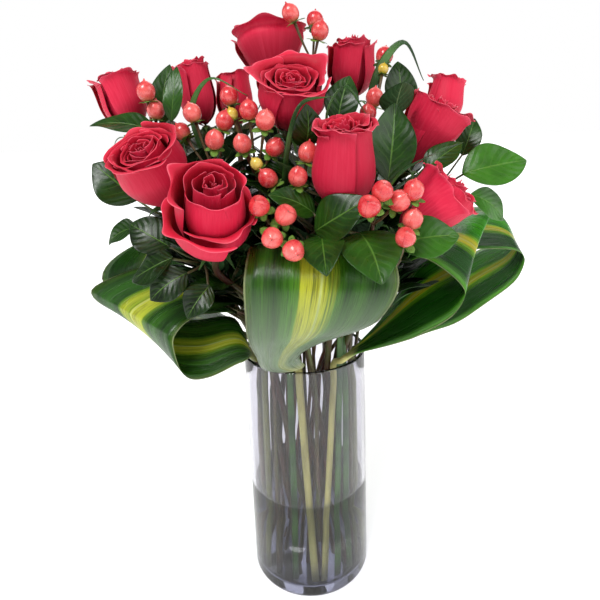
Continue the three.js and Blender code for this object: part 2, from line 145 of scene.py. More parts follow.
def spline(points: Sequence[Vector], per_span: int) -> list[Vector]:
    """Samples a centripetal Catmull-Rom curve.

    Args:
        points: the points it passes through.
        per_span: samples for each stretch between two of them.
    Returns:
        The samples, both ends included.
    """
    ends = [points[0] * 2 - points[1], *points, points[-1] * 2 - points[-2]]
    out: list[Vector] = []
    for i in range(len(points) - 1):
        p0, p1, p2, p3 = ends[i : i + 4]
        d0, d1, d2 = (max((b - a).length, 1e-4) ** 0.5 for a, b in ((p0, p1), (p1, p2), (p2, p3)))
        m1 = ((p1 - p0) / d0 - (p2 - p0) / (d0 + d1) + (p2 - p1) / d1) * d1
        m2 = ((p2 - p1) / d1 - (p3 - p1) / (d1 + d2) + (p3 - p2) / d2) * d1
        square, cube = 3 * (p2 - p1) - 2 * m1 - m2, 2 * (p1 - p2) + m1 + m2
        for k in range(per_span):
            t = k / per_span
            out.append(p1 + m1 * t + square * t * t + cube * t**3)
    out.append(points[-1].copy())
    return out


def in_vase(rim: float, foot: float | None, ring: Ring, low: float = STEM_FOOT) -> list[Vector]:
    """The straight run of a stem inside the vase.

    Args:
        rim: compass angle at which it leaves the vase.
        foot: compass angle of its foot, or None for the ring's own lean.
        ring: the ring it stands in.
        low: height of its cut end.
    Returns:
        Three points from the foot to just under the rim.
    """
    radius, turn = ring.value
    top = polar(radius, rim, VASE_HEIGHT)
    bottom = polar(radius, rim + turn if foot is None else foot, STEM_FOOT)
    span = VASE_HEIGHT - STEM_FOOT
    return [
        bottom.lerp(top, (z - STEM_FOOT) / span)
        for z in (low, mix(low, RIM_RUN_END, 0.6), RIM_RUN_END)
    ]


def deselect() -> None:
    """Leaves nothing selected."""
    bpy.ops.object.select_all(action="DESELECT")


def activate(obj: bpy.types.Object) -> None:
    """Makes an object the only selected one and the active one.

    Args:
        obj: the object.
    """
    deselect()
    obj.select_set(True)
    bpy.context.view_layer.objects.active = obj


# ------------------------------------------------------------------ patches of faces


@dataclass
class Patch:
    """One grid of faces that a shape function lays out.

    place takes (u, v), each from -1 to 1, and gives a point in mm. uv takes the same and gives the
    texture place, tone a number from 0 to 1 that the finish reads as its own variation; on the
    broad leaves it also carries painted light and shade.
    """

    across: int
    along: int
    place: Callable[[float, float], Vector]
    slot: int = 0
    tone: float | Callable[[float, float], float] = 0.5
    uv: Callable[[float, float], tuple[float, float]] | None = None


def grids(name: str, patches: Sequence[Patch]) -> bpy.types.Object:
    """Adds one grid primitive for each patch to a new object and lays each out.

    Args:
        name: the object's name.
        patches: the patches in order.
    Returns:
        The new object, in metres.
    """
    deselect()
    for k, patch in enumerate(patches):
        bpy.ops.mesh.primitive_grid_add(
            x_subdivisions=patch.across, y_subdivisions=patch.along, size=2
        )
        if k == 0:
            bpy.ops.object.mode_set(mode="EDIT")
    bpy.ops.object.mode_set(mode="OBJECT")
    obj = bpy.context.object
    obj.name = obj.data.name = name
    mesh = obj.data
    texture = mesh.uv_layers.active or mesh.uv_layers.new(name="UVMap")
    tones = mesh.attributes.new("tone", "FLOAT", "POINT")
    verts, faces = 0, 0
    for patch in patches:
        vert_count = (patch.across + 1) * (patch.along + 1)
        face_count = patch.across * patch.along
        at = {}
        for i in range(verts, verts + vert_count):
            u, v = mesh.vertices[i].co[:2]
            at[i] = (u, v)
            mesh.vertices[i].co = patch.place(u, v) * MM
            tones.data[i].value = patch.tone(u, v) if callable(patch.tone) else patch.tone
        for face in mesh.polygons[faces : faces + face_count]:
            face.material_index = patch.slot
            face.use_smooth = True
            for loop in face.loop_indices:
                u, v = at[mesh.loops[loop].vertex_index]
                texture.data[loop].uv = patch.uv(u, v) if patch.uv else ((u + 1) / 2, (v + 1) / 2)
        verts += vert_count
        faces += face_count
    mesh.update()
    return obj


def apply(obj: bpy.types.Object, kind: str, **settings: object) -> None:
    """Adds a modifier and applies it.

    Args:
        obj: the object.
        kind: the modifier's type.
        **settings: its properties.
    """
    activate(obj)
    modifier = obj.modifiers.new(kind.title(), kind)
    for key, value in settings.items():
        setattr(modifier, key, value)
    bpy.ops.object.modifier_apply(modifier=modifier.name)


def slot_numbers(obj: bpy.types.Object) -> list[int]:
    """The material slot number of each of an object's faces.

    Args:
        obj: the object.
    Returns:
        The numbers in the order of the faces.
    """
    numbers = [0] * len(obj.data.polygons)
    obj.data.polygons.foreach_get("material_index", numbers)
    return numbers


def refill(obj: bpy.types.Object, materials: Sequence[bpy.types.Material]) -> None:
    """Swaps an object's materials and keeps each face's slot number.

    Args:
        obj: the object.
        materials: the new materials in slot order.
    """
    numbers = slot_numbers(obj)
    obj.data.materials.clear()
    for material in materials:
        obj.data.materials.append(material)
    obj.data.polygons.foreach_set("material_index", numbers)


def sheets(name: str, patches: Sequence[Patch], thickness: float) -> bpy.types.Object:
    """Open sheets given a thickness; the side away from the normal takes the next slot.

    Args:
        name: the object's name.
        patches: the sheets.
        thickness: mm.
    Returns:
        The finished sheets as one object.
    """
    obj = grids(name, patches)
    for _ in range(max(p.slot for p in patches) + 2):
        obj.data.materials.append(None)
    apply(
        obj, "SOLIDIFY", thickness=thickness * MM, offset=-1.0, material_offset=1,
        material_offset_rim=0, use_even_offset=False,
    )
    apply(obj, "SUBSURF", levels=1, render_levels=1)
    refill(obj, [])
    return obj


def solids(name: str, patches: Sequence[Patch]) -> bpy.types.Object:
    """Patches that close on themselves, welded into solids with outward faces.

    Args:
        name: the object's name.
        patches: the patches, each closed round and at both ends.
    Returns:
        The finished solids as one object.
    """
    obj = grids(name, patches)
    activate(obj)
    bpy.ops.object.mode_set(mode="EDIT")
    bpy.ops.mesh.select_all(action="SELECT")
    bpy.ops.mesh.remove_doubles(threshold=WELD * MM)
    bpy.ops.mesh.normals_make_consistent(inside=False)
    bpy.ops.object.mode_set(mode="OBJECT")
    return obj


def joined(name: str, parts: Sequence[bpy.types.Object]) -> bpy.types.Object:
    """Joins parts that have no materials yet into one object, slots kept by number.

    Args:
        name: the new name.
        parts: the objects to join.
    Returns:
        The joined object.
    """
    numbers = [number for part in parts for number in slot_numbers(part)]
    activate(parts[0])
    for part in parts[1:]:
        part.select_set(True)
    bpy.ops.object.join()
    obj = bpy.context.object
    obj.name = obj.data.name = name
    obj.data.polygons.foreach_set("material_index", numbers)
    return obj


def dress(obj: bpy.types.Object, finishes: Sequence["Finish"], node: str) -> None:
    """Gives a piece its finishes and ties it to the frame.

    Args:
        obj: the piece.
        finishes: one for each material slot, in order.
        node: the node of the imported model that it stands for.
    """
    refill(obj, [finish.material() for finish in finishes])
    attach(obj, "root")
    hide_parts(node)
    log.info("%-22s %6d faces", obj.name, len(obj.data.polygons))


def run_lengths(path: Sequence[Vector]) -> list[float]:
    """The length of a path up to each of its points.

    Args:
        path: the points.
    Returns:
        A length for each, in the path's own unit.
    """
    lengths = [0.0]
    for a, b in zip(path, path[1:]):
        lengths.append(lengths[-1] + (b - a).length)
    return lengths


def station(v: float, last: int) -> tuple[int, bool]:
    """The point of a path at a closed patch's v, which has one row more at each end.

    Args:
        v: from -1 to 1.
        last: the number of the path's last point.
    Returns:
        The point's number, and whether the row is one that closes an end.
    """
    row = round((v + 1) / 2 * (last + 2))
    return max(0, min(last, row - 1)), row in (0, last + 2)


def point_on(line: Sequence[Vector], share: float) -> Vector:
    """The point that is a share of the way along a line.

    Args:
        line: its points, taken as evenly spaced.
        share: from 0 to 1.
    Returns:
        The point.
    """
    x = share * (len(line) - 1)
    i = min(int(x), len(line) - 2)
    return line[i].lerp(line[i + 1], x - i)


def frames(path: Sequence[Vector]) -> list[tuple[Vector, Vector]]:
    """Two steady directions square to a path at each of its points.

    Args:
        path: the points.
    Returns:
        A pair of unit vectors for each point.
    """
    side = Vector((1, 0.2, 0.1))
    out = []
    for i in range(len(path)):
        t = (path[min(i + 1, len(path) - 1)] - path[max(i - 1, 0)]).normalized()
        side = (side - t * side.dot(t)).normalized()
        out.append((side.copy(), t.cross(side)))
    return out


def rod(
    path: Sequence[Vector], radius: float | Callable[[float], float], sides: int = 10
) -> Patch:
    """A round rod along a path, closed at both ends, in the first material slot.

    Args:
        path: its middle line.
        radius: mm, or a function of the share of the way along.
        sides: faces round it.
    Returns:
        The patch.
    """
    lines, lengths = frames(path), run_lengths(path)
    last = len(path) - 1

    def place(u: float, v: float) -> Vector:
        """The point at angle u and station v; the first and last stations close the ends.

        Args:
            u: place round the rod.
            v: place along it, ends included.
        Returns:
            A point on the skin.
        """
        i, closing = station(v, last)
        r = 0.0 if closing else radius(i / last) if callable(radius) else radius
        side, up = lines[i]
        a = math.pi * u
        return path[i] + side * (r * math.cos(a)) + up * (r * math.sin(a))

    def texture(u: float, v: float) -> tuple[float, float]:
        """Round it across, and length in metres along."""
        return (u + 1) / 2, lengths[station(v, last)[0]] * MM

    return Patch(sides, last + 2, place, uv=texture)


def turned(
    base: Vector, axis: Vector, profile: Sequence[tuple[float, float]], sides: int, slot: int = 0,
    tone: float = 0.5, ripple: Callable[[float, float], float] | None = None,
) -> Patch:
    """A solid of revolution.

    Args:
        base: where its axis starts.
        axis: its direction.
        profile: (radius, height) from bottom to top, radius 0 at both ends.
        sides: faces round it.
        slot: material slot.
        tone: its variation.
        ripple: share added to the radius at (angle, share of the way up).
    Returns:
        The patch.
    """
    lie = Z_AXIS.rotation_difference(axis)
    last = len(profile) - 1

    def place(u: float, v: float) -> Vector:
        """The point at angle u and profile point v.

        Args:
            u: place round the axis.
            v: place along the profile.
        Returns:
            A point on the skin.
        """
        k = round((v + 1) / 2 * last)
        r, z = profile[k]
        a = math.pi * u
        if ripple:
            r *= 1 + ripple(a, k / last)
        return base + lie @ Vector((r * math.cos(a), r * math.sin(a), z))

    return Patch(sides, last, place, slot, tone)


# ------------------------------------------------------------------ finishes


class Kind(Enum):
    """The nodes in use: type, settings, inputs in the order they are given, and output."""

    PLUS = ("Math", {"operation": "ADD"}, (0, 1), 0)
    MINUS = ("Math", {"operation": "SUBTRACT"}, (0, 1), 0)
    TIMES = ("Math", {"operation": "MULTIPLY"}, (0, 1), 0)
    TIMES_PLUS = ("Math", {"operation": "MULTIPLY_ADD"}, (0, 1, 2), 0)
    LARGER = ("Math", {"operation": "MAXIMUM"}, (0, 1), 0)
    UNSIGNED = ("Math", {"operation": "ABSOLUTE"}, (0,), 0)
    FRACTION = ("Math", {"operation": "FRACT"}, (0,), 0)
    SINE = ("Math", {"operation": "SINE"}, (0,), 0)
    BLEND = ("Mix", {"data_type": "RGBA", "blend_type": "MIX"}, (0, 6, 7), 2)
    SHADE = ("Mix", {"data_type": "RGBA", "blend_type": "MULTIPLY"}, (0, 6, 7), 2)
    RAMP = ("ValToRGB", {}, (0,), 0)
    STRETCH = ("Mapping", {}, (0, 3), 0)
    NOISE = ("TexNoise", {}, ("Vector", "Scale", "Detail", "Roughness"), 0)
    FLAT_NOISE = (
        "TexNoise", {"noise_dimensions": "2D"}, ("Vector", "Scale", "Detail", "Roughness"), 0
    )
    OWN_NOISE = (
        "TexNoise", {"noise_dimensions": "4D"}, ("Vector", "W", "Scale", "Detail", "Roughness"), 0
    )
    BODY = ("TexCoord", {}, (), "Object")
    UV = ("UVMap", {"uv_map": "UVMap"}, (), 0)
    TONE = ("Attribute", {"attribute_name": "tone"}, (), "Fac")
    ACROSS = ("SeparateXYZ", {}, (0,), 0)
    ALONG = ("SeparateXYZ", {}, (0,), 1)
    HEIGHT = ("SeparateXYZ", {}, (0,), 2)
    FACING = ("LayerWeight", {}, (0,), "Facing")
    BUMP = ("Bump", {}, ("Height", "Distance", "Strength"), 0)
    SHADER = ("BsdfPrincipled", {}, (), 0)
    CLEAR = ("BsdfTransparent", {}, (0,), 0)
    EITHER = ("MixShader", {}, (0, 1, 2), 0)
    SHADOW_RAY = ("LightPath", {}, (), "Is Shadow Ray")
    CAMERA_RAY = ("LightPath", {}, (), "Is Camera Ray")
    TRANSMISSION_RAY = ("LightPath", {}, (), "Is Transmission Ray")
    GLOSSY_RAY = ("LightPath", {}, (), "Is Glossy Ray")
    SKY_WAY = ("TexCoord", {}, (), "Generated")
    SKY = ("Background", {}, (0, 1), 0)
    SURFACE = ("OutputMaterial", {}, (0,), None)
    WORLD = ("OutputWorld", {}, (0,), None)


def add_node(
    tree: bpy.types.NodeTree, kind: Kind, *inputs: object,
    named: dict[str, object] | None = None, stops: Sequence[tuple[float, str | float]] = (),
) -> bpy.types.NodeSocket | None:
    """Adds a node with its settings and links.

    Args:
        tree: the nodes of a material or of the world.
        kind: what it is.
        *inputs: values or sockets for the kind's own inputs, in their order.
        named: values or sockets for other inputs, by name.
        stops: (place, hex colour or grey value) along a colour ramp.
    Returns:
        The kind's output socket, or None where it has none.
    """
    type_name, settings, sockets, output = kind.value
    node = tree.nodes.new("ShaderNode" + type_name)
    for key, value in settings.items():
        setattr(node, key, value)
    for key, value in [*zip(sockets, inputs), *(named or {}).items()]:
        if isinstance(value, bpy.types.NodeSocket):
            tree.links.new(value, node.inputs[key])
        else:
            node.inputs[key].default_value = value
    for _ in stops[2:]:
        node.color_ramp.elements.new(0.5)
    for i, (place, colour) in enumerate(stops):
        element = node.color_ramp.elements[i]
        element.position = place
        element.color = linear(colour) if isinstance(colour, str) else (colour, colour, colour, 1)
    return None if output is None else node.outputs[output]


def blotches(size: float) -> float:
    """The noise scale that gives blotches of about size mm on coordinates in metres."""
    return 1 / MM / size


AddNode = Callable[..., bpy.types.NodeSocket]
Inputs = dict[str, object]


@dataclass(frozen=True)
class Finish:
    """A material that is made once and shared."""

    name: str

    def material(self) -> bpy.types.Material:
        """Makes the material, or gives the one already made.

        Returns:
            The material.
        """
        made = bpy.data.materials.get(self.name)
        if made:
            return made
        made = bpy.data.materials.new(self.name)
        made.use_nodes = True
        made.node_tree.nodes.clear()
        add = partial(add_node, made.node_tree)
        add(Kind.SURFACE, self.surface(add, add(Kind.SHADER, named=self.inputs(add))))
        return made

    def inputs(self, add: AddNode) -> Inputs:
        """The shader's inputs by name, after adding the nodes that some of them come from.

        Args:
            add: adds a node to the material.
        Returns:
            Values and sockets by input name.
        """
        raise NotImplementedError

    def surface(self, add: AddNode, shader: bpy.types.NodeSocket) -> bpy.types.NodeSocket:
        """What the surface shows: the shader alone."""
        return shader


@dataclass(frozen=True)
class PetalFinish(Finish):
    """Rose petal: soft matt velvet with fine fibres, about a millimetre apart, from base to rim."""

    deep: str
    base: str
    light: str
    edge: str
    rim_highlight_share: float
    fibres: Point = (46, 3.2, 1)
    depth: float = 0.5

    def inputs(self, add: AddNode) -> Inputs:
        """Painted shade at the base, painted highlight at top and rim, lighter streaks of fibre.

        Args:
            add: adds a node to the material.
        Returns:
            Values and sockets by input name.
        """
        place, tone = add(Kind.UV), add(Kind.TONE)
        along = add(Kind.ALONG, place)
        line = add(Kind.STRETCH, place, self.fibres)
        fibre = add(Kind.OWN_NOISE, line, add(Kind.TIMES, tone, 40.0), 1.0, 3.0, 0.6)
        cloud = add(Kind.OWN_NOISE, place, add(Kind.TIMES, tone, 23.0), 3.0, 2.0)
        # Painted shade towards the petal's base and painted highlight towards its top.
        colour = add(Kind.RAMP, along, stops=(
            (0.0, self.deep), (0.42, self.base), (0.8, self.base), (1.0, self.light)))
        streak = add(Kind.RAMP, fibre, stops=((0.42, 0.0), (0.68, 1.0)))
        streak = add(Kind.TIMES, streak, add(Kind.TIMES, cloud, 0.32))
        colour = add(Kind.BLEND, streak, colour, linear(self.light))
        shade = add(Kind.RAMP, tone, stops=((0.0, 0.72), (1.0, 1.0)))
        colour = add(Kind.SHADE, 1.0, colour, shade)
        # Painted highlight along the petal's thin rim.
        rim = add(Kind.RAMP, along, stops=((0.955, 0.0), (1.0, 1.0)))
        rim = add(Kind.TIMES, rim, self.rim_highlight_share)
        relief = add(Kind.PLUS, add(Kind.TIMES, fibre, 0.5), cloud)
        return {
            "Base Color": add(Kind.BLEND, rim, colour, linear(self.edge)),
            "Roughness": add(Kind.RAMP, fibre, stops=((0.3, 0.46), (0.7, 0.62))),
            "IOR": 1.4,
            "Specular IOR Level": 0.35,
            "Sheen Weight": 0.2,
            "Sheen Roughness": 0.4,
            "Sheen Tint": linear("#ff7a8c"),
            "Normal": add(Kind.BUMP, relief, self.depth * MM, 1.0),
        }


@dataclass(frozen=True)
class StalkFinish(Finish):
    """Stem skin: waxy, with 5 mm streaks along its length and pores a little over a millimetre."""

    young: str
    old: str
    gloss: float = 0.42
    depth: float = 0.25

    def inputs(self, add: AddNode) -> Inputs:
        """Long streaks of the two colours, darker pores and a low relief.

        Args:
            add: adds a node to the material.
        Returns:
            Values and sockets by input name.
        """
        body = add(Kind.BODY)
        streak = add(Kind.NOISE, add(Kind.STRETCH, body, (1, 1, 0.12)), blotches(5.0), 3.0)
        patch = add(Kind.NOISE, body, blotches(34.0), 2.0)
        pores = add(Kind.NOISE, body, blotches(1.3), 1.0)
        share = add(Kind.PLUS, add(Kind.TIMES, streak, 0.7), add(Kind.TIMES, patch, 0.9))
        age = add(Kind.TIMES, add(Kind.MINUS, add(Kind.TONE), 0.5), 1.2)
        share = add(Kind.PLUS, share, age)
        colour = add(Kind.RAMP, share, stops=((0.55, self.young), (1.0, self.old)))
        dark = add(Kind.RAMP, pores, stops=((0.30, 0.55), (0.40, 1.0)))
        pitted = add(Kind.SHADE, 1.0, colour, dark)
        return {
            "Base Color": add(Kind.BLEND, 0.7, colour, pitted),
            "Roughness": add(
                Kind.RAMP, streak, stops=((0.3, self.gloss), (0.7, self.gloss + 0.15))),
            "Normal": add(Kind.BUMP, add(Kind.PLUS, streak, pores), self.depth * MM, 1.0),
        }


@dataclass(frozen=True)
class StrapFinish(Finish):
    """Variegated aspidistra blade: satin, with lime bands, dark lines and parallel veins.

    stops are the bands across the blade; wax is the grey of a painted reflection on the blade's
    lower part, dull its strength, and reflection_from and reflection_to the heights in mm between
    which it thins out.
    """

    stops: tuple[tuple[float, str], ...]
    petiole: str
    reflection_share: float = 0.0
    margin: str = "#bccb8c"
    painted_reflection: str = "#8d9c86"
    reflection_from: float = 230.0
    reflection_to: float = 284.0
    depth: float = 0.35

    def inputs(self, add: AddNode) -> Inputs:
        """Bands across the width, fine veins along it, a pale margin and a paler stalk.

        Args:
            add: adds a node to the material.
        Returns:
            Values and sockets by input name.
        """
        place, body = add(Kind.UV), add(Kind.BODY)
        across = add(Kind.ACROSS, place)
        veins = add(Kind.FLAT_NOISE, add(Kind.STRETCH, place, (1, 0.35, 1)), 95.0, 3.0, 0.7)
        broad = add(Kind.FLAT_NOISE, add(Kind.STRETCH, place, (1, 0.6, 1)), 17.0, 2.0, 0.6)
        drift = add(Kind.NOISE, body, blotches(60.0), 1.0)
        wander = add(Kind.TIMES, add(Kind.MINUS, drift, 0.5), 0.05)
        jitter = add(Kind.TIMES, add(Kind.MINUS, broad, 0.5), 0.085)
        where = add(Kind.PLUS, across, add(Kind.PLUS, wander, jitter))
        colour = add(Kind.RAMP, where, stops=self.stops)
        lines = add(Kind.RAMP, veins, stops=((0.36, 0.42), (0.50, 0.95), (0.66, 1.12)))
        colour = add(Kind.BLEND, 0.8, colour, add(Kind.SHADE, 1.0, colour, lines))
        centre = add(Kind.UNSIGNED, add(Kind.MINUS, across, 0.5))
        rib = add(Kind.RAMP, centre, stops=((0.0, 0.45), (0.006, 0.35), (0.013, 0.0)))
        colour = add(Kind.BLEND, rib, colour, linear(self.margin))
        rim = add(Kind.RAMP, centre, stops=((0.485, 0.0), (0.493, 0.8)))
        colour = add(Kind.BLEND, rim, colour, linear(self.margin))
        # Painted reflection: a grey over the blade's lower part that thins out between two heights.
        level = add(Kind.TIMES, add(Kind.HEIGHT, body), 1 / MM / FULL_HEIGHT)
        painted_reflection = add(Kind.RAMP, level, stops=(
            (self.reflection_from / FULL_HEIGHT, self.reflection_share), (self.reflection_to / FULL_HEIGHT, 0.0)))
        colour = add(Kind.BLEND, painted_reflection, colour, linear(self.painted_reflection))
        grooves = add(Kind.NOISE, add(Kind.STRETCH, body, (1, 1, 0.1)), blotches(4.0), 2.0)
        grooves = add(Kind.RAMP, grooves, stops=((0.3, 0.62), (0.65, 1.0)))
        stalk = add(Kind.SHADE, 1.0, linear(self.petiole), grooves)
        blade = add(Kind.RAMP, add(Kind.TONE), stops=((0.05, 0.0), (0.55, 1.0)))
        relief = add(Kind.PLUS, veins, add(Kind.TIMES, broad, 1.5))
        return {
            "Base Color": add(Kind.BLEND, blade, stalk, colour),
            "Roughness": add(Kind.RAMP, broad, stops=((0.3, 0.24), (0.7, 0.38))),
            "Specular IOR Level": 0.32,
            "Coat Weight": 0.2,
            "Coat Roughness": 0.18,
            "Normal": add(Kind.BUMP, relief, self.depth * MM, 1.0),
        }


@dataclass(frozen=True)
class LeafFinish(Finish):
    """Broad leaf: waxy gloss above, matt and pale below, with a midrib and side veins."""

    blade: str = "#2a5710"
    shadow: str = "#0c2404"
    vein: str = "#5f8a34"
    gloss: float = 0.27
    coat: float = 0.12
    side_veins: float = 7.0
    depth: float = 0.18

    def inputs(self, add: AddNode) -> Inputs:
        """Side veins sweep forward from the midrib; the skin between them is quilted.

        Args:
            add: adds a node to the material.
        Returns:
            Values and sockets by input name.
        """
        place, body, tone = add(Kind.UV), add(Kind.BODY), add(Kind.TONE)
        mottle = add(Kind.NOISE, body, blotches(14.0), 3.0)
        grain = add(Kind.NOISE, body, blotches(1.6), 2.0)
        centre = add(Kind.UNSIGNED, add(Kind.MINUS, add(Kind.ACROSS, place), 0.5))
        sweep = add(Kind.MINUS, add(Kind.ALONG, place), add(Kind.TIMES, centre, 0.62))
        wander = add(Kind.TIMES, add(Kind.MINUS, mottle, 0.5), 0.16)
        sweep = add(Kind.TIMES, add(Kind.PLUS, sweep, wander), self.side_veins)
        near = add(Kind.UNSIGNED, add(Kind.MINUS, add(Kind.FRACTION, sweep), 0.5))
        side = add(Kind.RAMP, near, stops=((0.0, 1.0), (0.035, 0.75), (0.12, 0.0)))
        fade = add(Kind.RAMP, centre, stops=((0.02, 1.0), (0.46, 0.15)))
        side = add(Kind.TIMES, add(Kind.TIMES, side, fade), 0.2)
        rib = add(Kind.RAMP, centre, stops=((0.0, 1.0), (0.010, 0.8), (0.024, 0.0)))
        # Tone sets how light the whole leaf is: partly its own green, partly painted shade on
        # leaves deep in the bunch and painted light on an outer one.
        share = add(Kind.PLUS, add(Kind.TIMES, mottle, 0.7), add(Kind.TIMES, tone, 0.35))
        colour = add(Kind.RAMP, share, stops=((0.3, self.shadow), (0.75, self.blade)))
        tone_and_painted_light = add(Kind.RAMP, tone, stops=((0.0, 0.38), (0.3, 0.7), (0.5, 0.9), (1.0, 1.8)))
        colour = add(Kind.SHADE, 1.0, colour, tone_and_painted_light)
        colour = add(Kind.BLEND, side, colour, linear(self.vein))
        quilt = add(Kind.MINUS, add(Kind.TIMES, near, 2.0), add(Kind.TIMES, rib, 1.2))
        relief = add(Kind.PLUS, quilt, add(Kind.TIMES, mottle, 1.6))
        return {
            "Base Color": add(
                Kind.BLEND, add(Kind.TIMES, rib, 0.6), colour, linear(self.vein)),
            "Roughness": add(
                Kind.RAMP, grain, stops=((0.3, self.gloss), (0.7, self.gloss + 0.14))),
            "Specular IOR Level": 0.32,
            "Coat Weight": self.coat,
            "Coat Roughness": 0.18,
            "Normal": add(Kind.BUMP, relief, self.depth * MM, 1.0),
        }


@dataclass(frozen=True)
class GrassFinish(Finish):
    """Lily grass: smooth, deep green, with a dozen fine parallel ribs."""

    deep: str = "#173d14"
    light: str = "#4f7f33"
    ribs: float = 75.0
    depth: float = 0.06

    def inputs(self, add: AddNode) -> Inputs:
        """Ribs across the width and a slow change along it.

        Args:
            add: adds a node to the material.
        Returns:
            Values and sockets by input name.
        """
        wave = add(Kind.SINE, add(Kind.TIMES, add(Kind.ACROSS, add(Kind.UV)), self.ribs))
        slow = add(Kind.NOISE, add(Kind.BODY), blotches(30.0), 2.0)
        share = add(Kind.PLUS, slow, add(Kind.TIMES, wave, 0.08))
        return {
            "Base Color": add(Kind.RAMP, share, stops=((0.35, self.deep), (0.7, self.light))),
            "Roughness": add(Kind.RAMP, slow, stops=((0.3, 0.28), (0.7, 0.4))),
            "Normal": add(Kind.BUMP, wave, self.depth * MM, 1.0),
        }


@dataclass(frozen=True)
class BerryFinish(Finish):
    """Hypericum berry: taut glossy skin, coral with paler cheeks and a brown speck at the tip."""

    body: str = "#cc2c34"
    cheek: str = "#ee6c66"
    foot: str = "#e69a78"
    tip: str = "#4a2016"
    seams: float = 3.0
    depth: float = 0.25

    def inputs(self, add: AddNode) -> Inputs:
        """Blush in patches, paler at the foot, dark at the very tip, with three faint seams.

        Args:
            add: adds a node to the material.
        Returns:
            Values and sockets by input name.
        """
        place, body = add(Kind.UV), add(Kind.BODY)
        along = add(Kind.ALONG, place)
        blush = add(Kind.NOISE, body, blotches(7.0), 2.0)
        fleck = add(Kind.NOISE, body, blotches(0.9), 1.0)
        ripe = add(Kind.TIMES, add(Kind.MINUS, add(Kind.TONE), 0.5), 0.35)
        share = add(Kind.PLUS, blush, ripe)
        colour = add(Kind.RAMP, share, stops=((0.35, self.body), (0.72, self.cheek)))
        for value, first, last, hue in (
            (fleck, (0.62, 0.0), (0.72, 0.35), self.cheek),
            (along, (0.05, 0.7), (0.3, 0.0), self.foot),
            (along, (0.93, 0.0), (0.965, 1.0), self.tip),
        ):
            spot = add(Kind.RAMP, value, stops=(first, last))
            colour = add(Kind.BLEND, spot, colour, linear(hue))
        phase = add(Kind.FRACTION, add(Kind.TIMES, add(Kind.ACROSS, place), self.seams))
        seam = add(Kind.UNSIGNED, add(Kind.MINUS, phase, 0.5))
        seam = add(Kind.RAMP, seam, stops=((0.0, 0.0), (0.04, 1.0)))
        return {
            "Base Color": colour,
            "Roughness": add(Kind.RAMP, fleck, stops=((0.3, 0.24), (0.7, 0.34))),
            "Coat Weight": 0.5,
            "Coat Roughness": 0.16,
            "Normal": add(Kind.BUMP, seam, self.depth * MM, 1.0),
        }


@dataclass(frozen=True)
class GlassFinish(Finish):
    """Smoky soda-lime glass, or water: it dims what is behind it with a violet-grey.

    The foot colour is strongest at the floor and ends foot_height mm above it.
    """

    tint: str
    edge: str
    foot: str
    ior: float
    foot_height: float = 36.0
    depth: float = 0.12

    def inputs(self, add: AddNode) -> Inputs:
        """Clear transmission with a faint unevenness.

        Args:
            add: adds a node to the material.
        Returns:
            Values and sockets by input name.
        """
        body = add(Kind.BODY)
        cloud = add(Kind.NOISE, add(Kind.STRETCH, body, (1, 1, 0.3)), blotches(45.0), 2.0)
        smoke = add(Kind.RAMP, add(Kind.FACING, 0.35), stops=((0.35, self.tint), (0.95, self.edge)))
        level = add(Kind.TIMES, add(Kind.HEIGHT, body), 1 / (self.foot_height * MM))
        low = add(Kind.RAMP, level, stops=((0.1, 0.85), (1.0, 0.0)))
        colour = add(Kind.BLEND, cloud, smoke, linear(self.tint))
        return {
            "Base Color": add(Kind.BLEND, low, colour, linear(self.foot)),
            "Transmission Weight": 1.0,
            "IOR": self.ior,
            "Roughness": 0.0,
            "Normal": add(Kind.BUMP, cloud, self.depth * MM, 1.0),
        }

    def surface(self, add: AddNode, shader: bpy.types.NodeSocket) -> bpy.types.NodeSocket:
        """The shader, but light for shadows goes straight through."""
        clear = add(Kind.CLEAR, linear(self.tint))
        return add(Kind.EITHER, add(Kind.SHADOW_RAY), shader, clear)


@dataclass(frozen=True)
class FloorFinish(Finish):
    """Matt white paper sweep under the vase, with a trace of its own light."""

    paper: str = "#f4f4f4"
    fibre: str = "#f1f1f1"

    def inputs(self, add: AddNode) -> Inputs:
        """Even white with a trace of paper grain.

        Args:
            add: adds a node to the material.
        Returns:
            Values and sockets by input name.
        """
        grain = add(Kind.NOISE, add(Kind.BODY), blotches(2.0), 2.0)
        return {
            "Base Color": add(Kind.RAMP, grain, stops=((0.3, self.fibre), (0.7, self.paper))),
            "Roughness": 0.7,
            "Specular IOR Level": 0.2,
            "Emission Color": WHITE,
            "Emission Strength": 0.32,
        }


# Petals: painted shade at the base, painted highlight at the top and rim; the face, looking into
# the cup, takes the deeper painted shade and the stronger rim highlight.
PETAL_BACK = PetalFinish("rose_petal_back", "#8a0f22", "#d31c40", "#f5526f", "#ff97a4", 0.22)
PETAL_FACE = PetalFinish("rose_petal_face", "#4a030e", "#c2112e", "#de2747", "#f0707f", 0.5)
ROSE_STALK = StalkFinish("rose_stem_skin", young="#434c1c", old="#4c2219")
SEPAL_SKIN = LeafFinish(
    "rose_sepal_skin", blade="#4c7a33", shadow="#2f5522", vein="#7fa05a", gloss=0.45, coat=0.0
)
PETIOLE_SKIN = StalkFinish("berry_twig_skin", young="#55542a", old="#602f22")
CALYX_SKIN = LeafFinish(
    "calyx_skin", blade="#6d9438", shadow="#4c7328", vein="#93b35a", gloss=0.4, coat=0.0
)
TWIG_SKIN = StalkFinish("leaf_twig_skin", young="#4c5c28", old="#52372a")
DARK_LEAF = LeafFinish("dark_leaf_upper")
DARK_LEAF_UNDER = LeafFinish(
    "dark_leaf_under", blade="#4f7a45", shadow="#335b31", vein="#8fae77", gloss=0.5, coat=0.0
)
GRASS_BLADE = GrassFinish("lily_grass_blade")
CORAL_BERRY = BerryFinish("coral_berry")
YOUNG_BERRY = BerryFinish(
    "young_berry", body="#c8a52c", cheek="#e0c65a", foot="#a9b34a", tip="#6a5a1c"
)
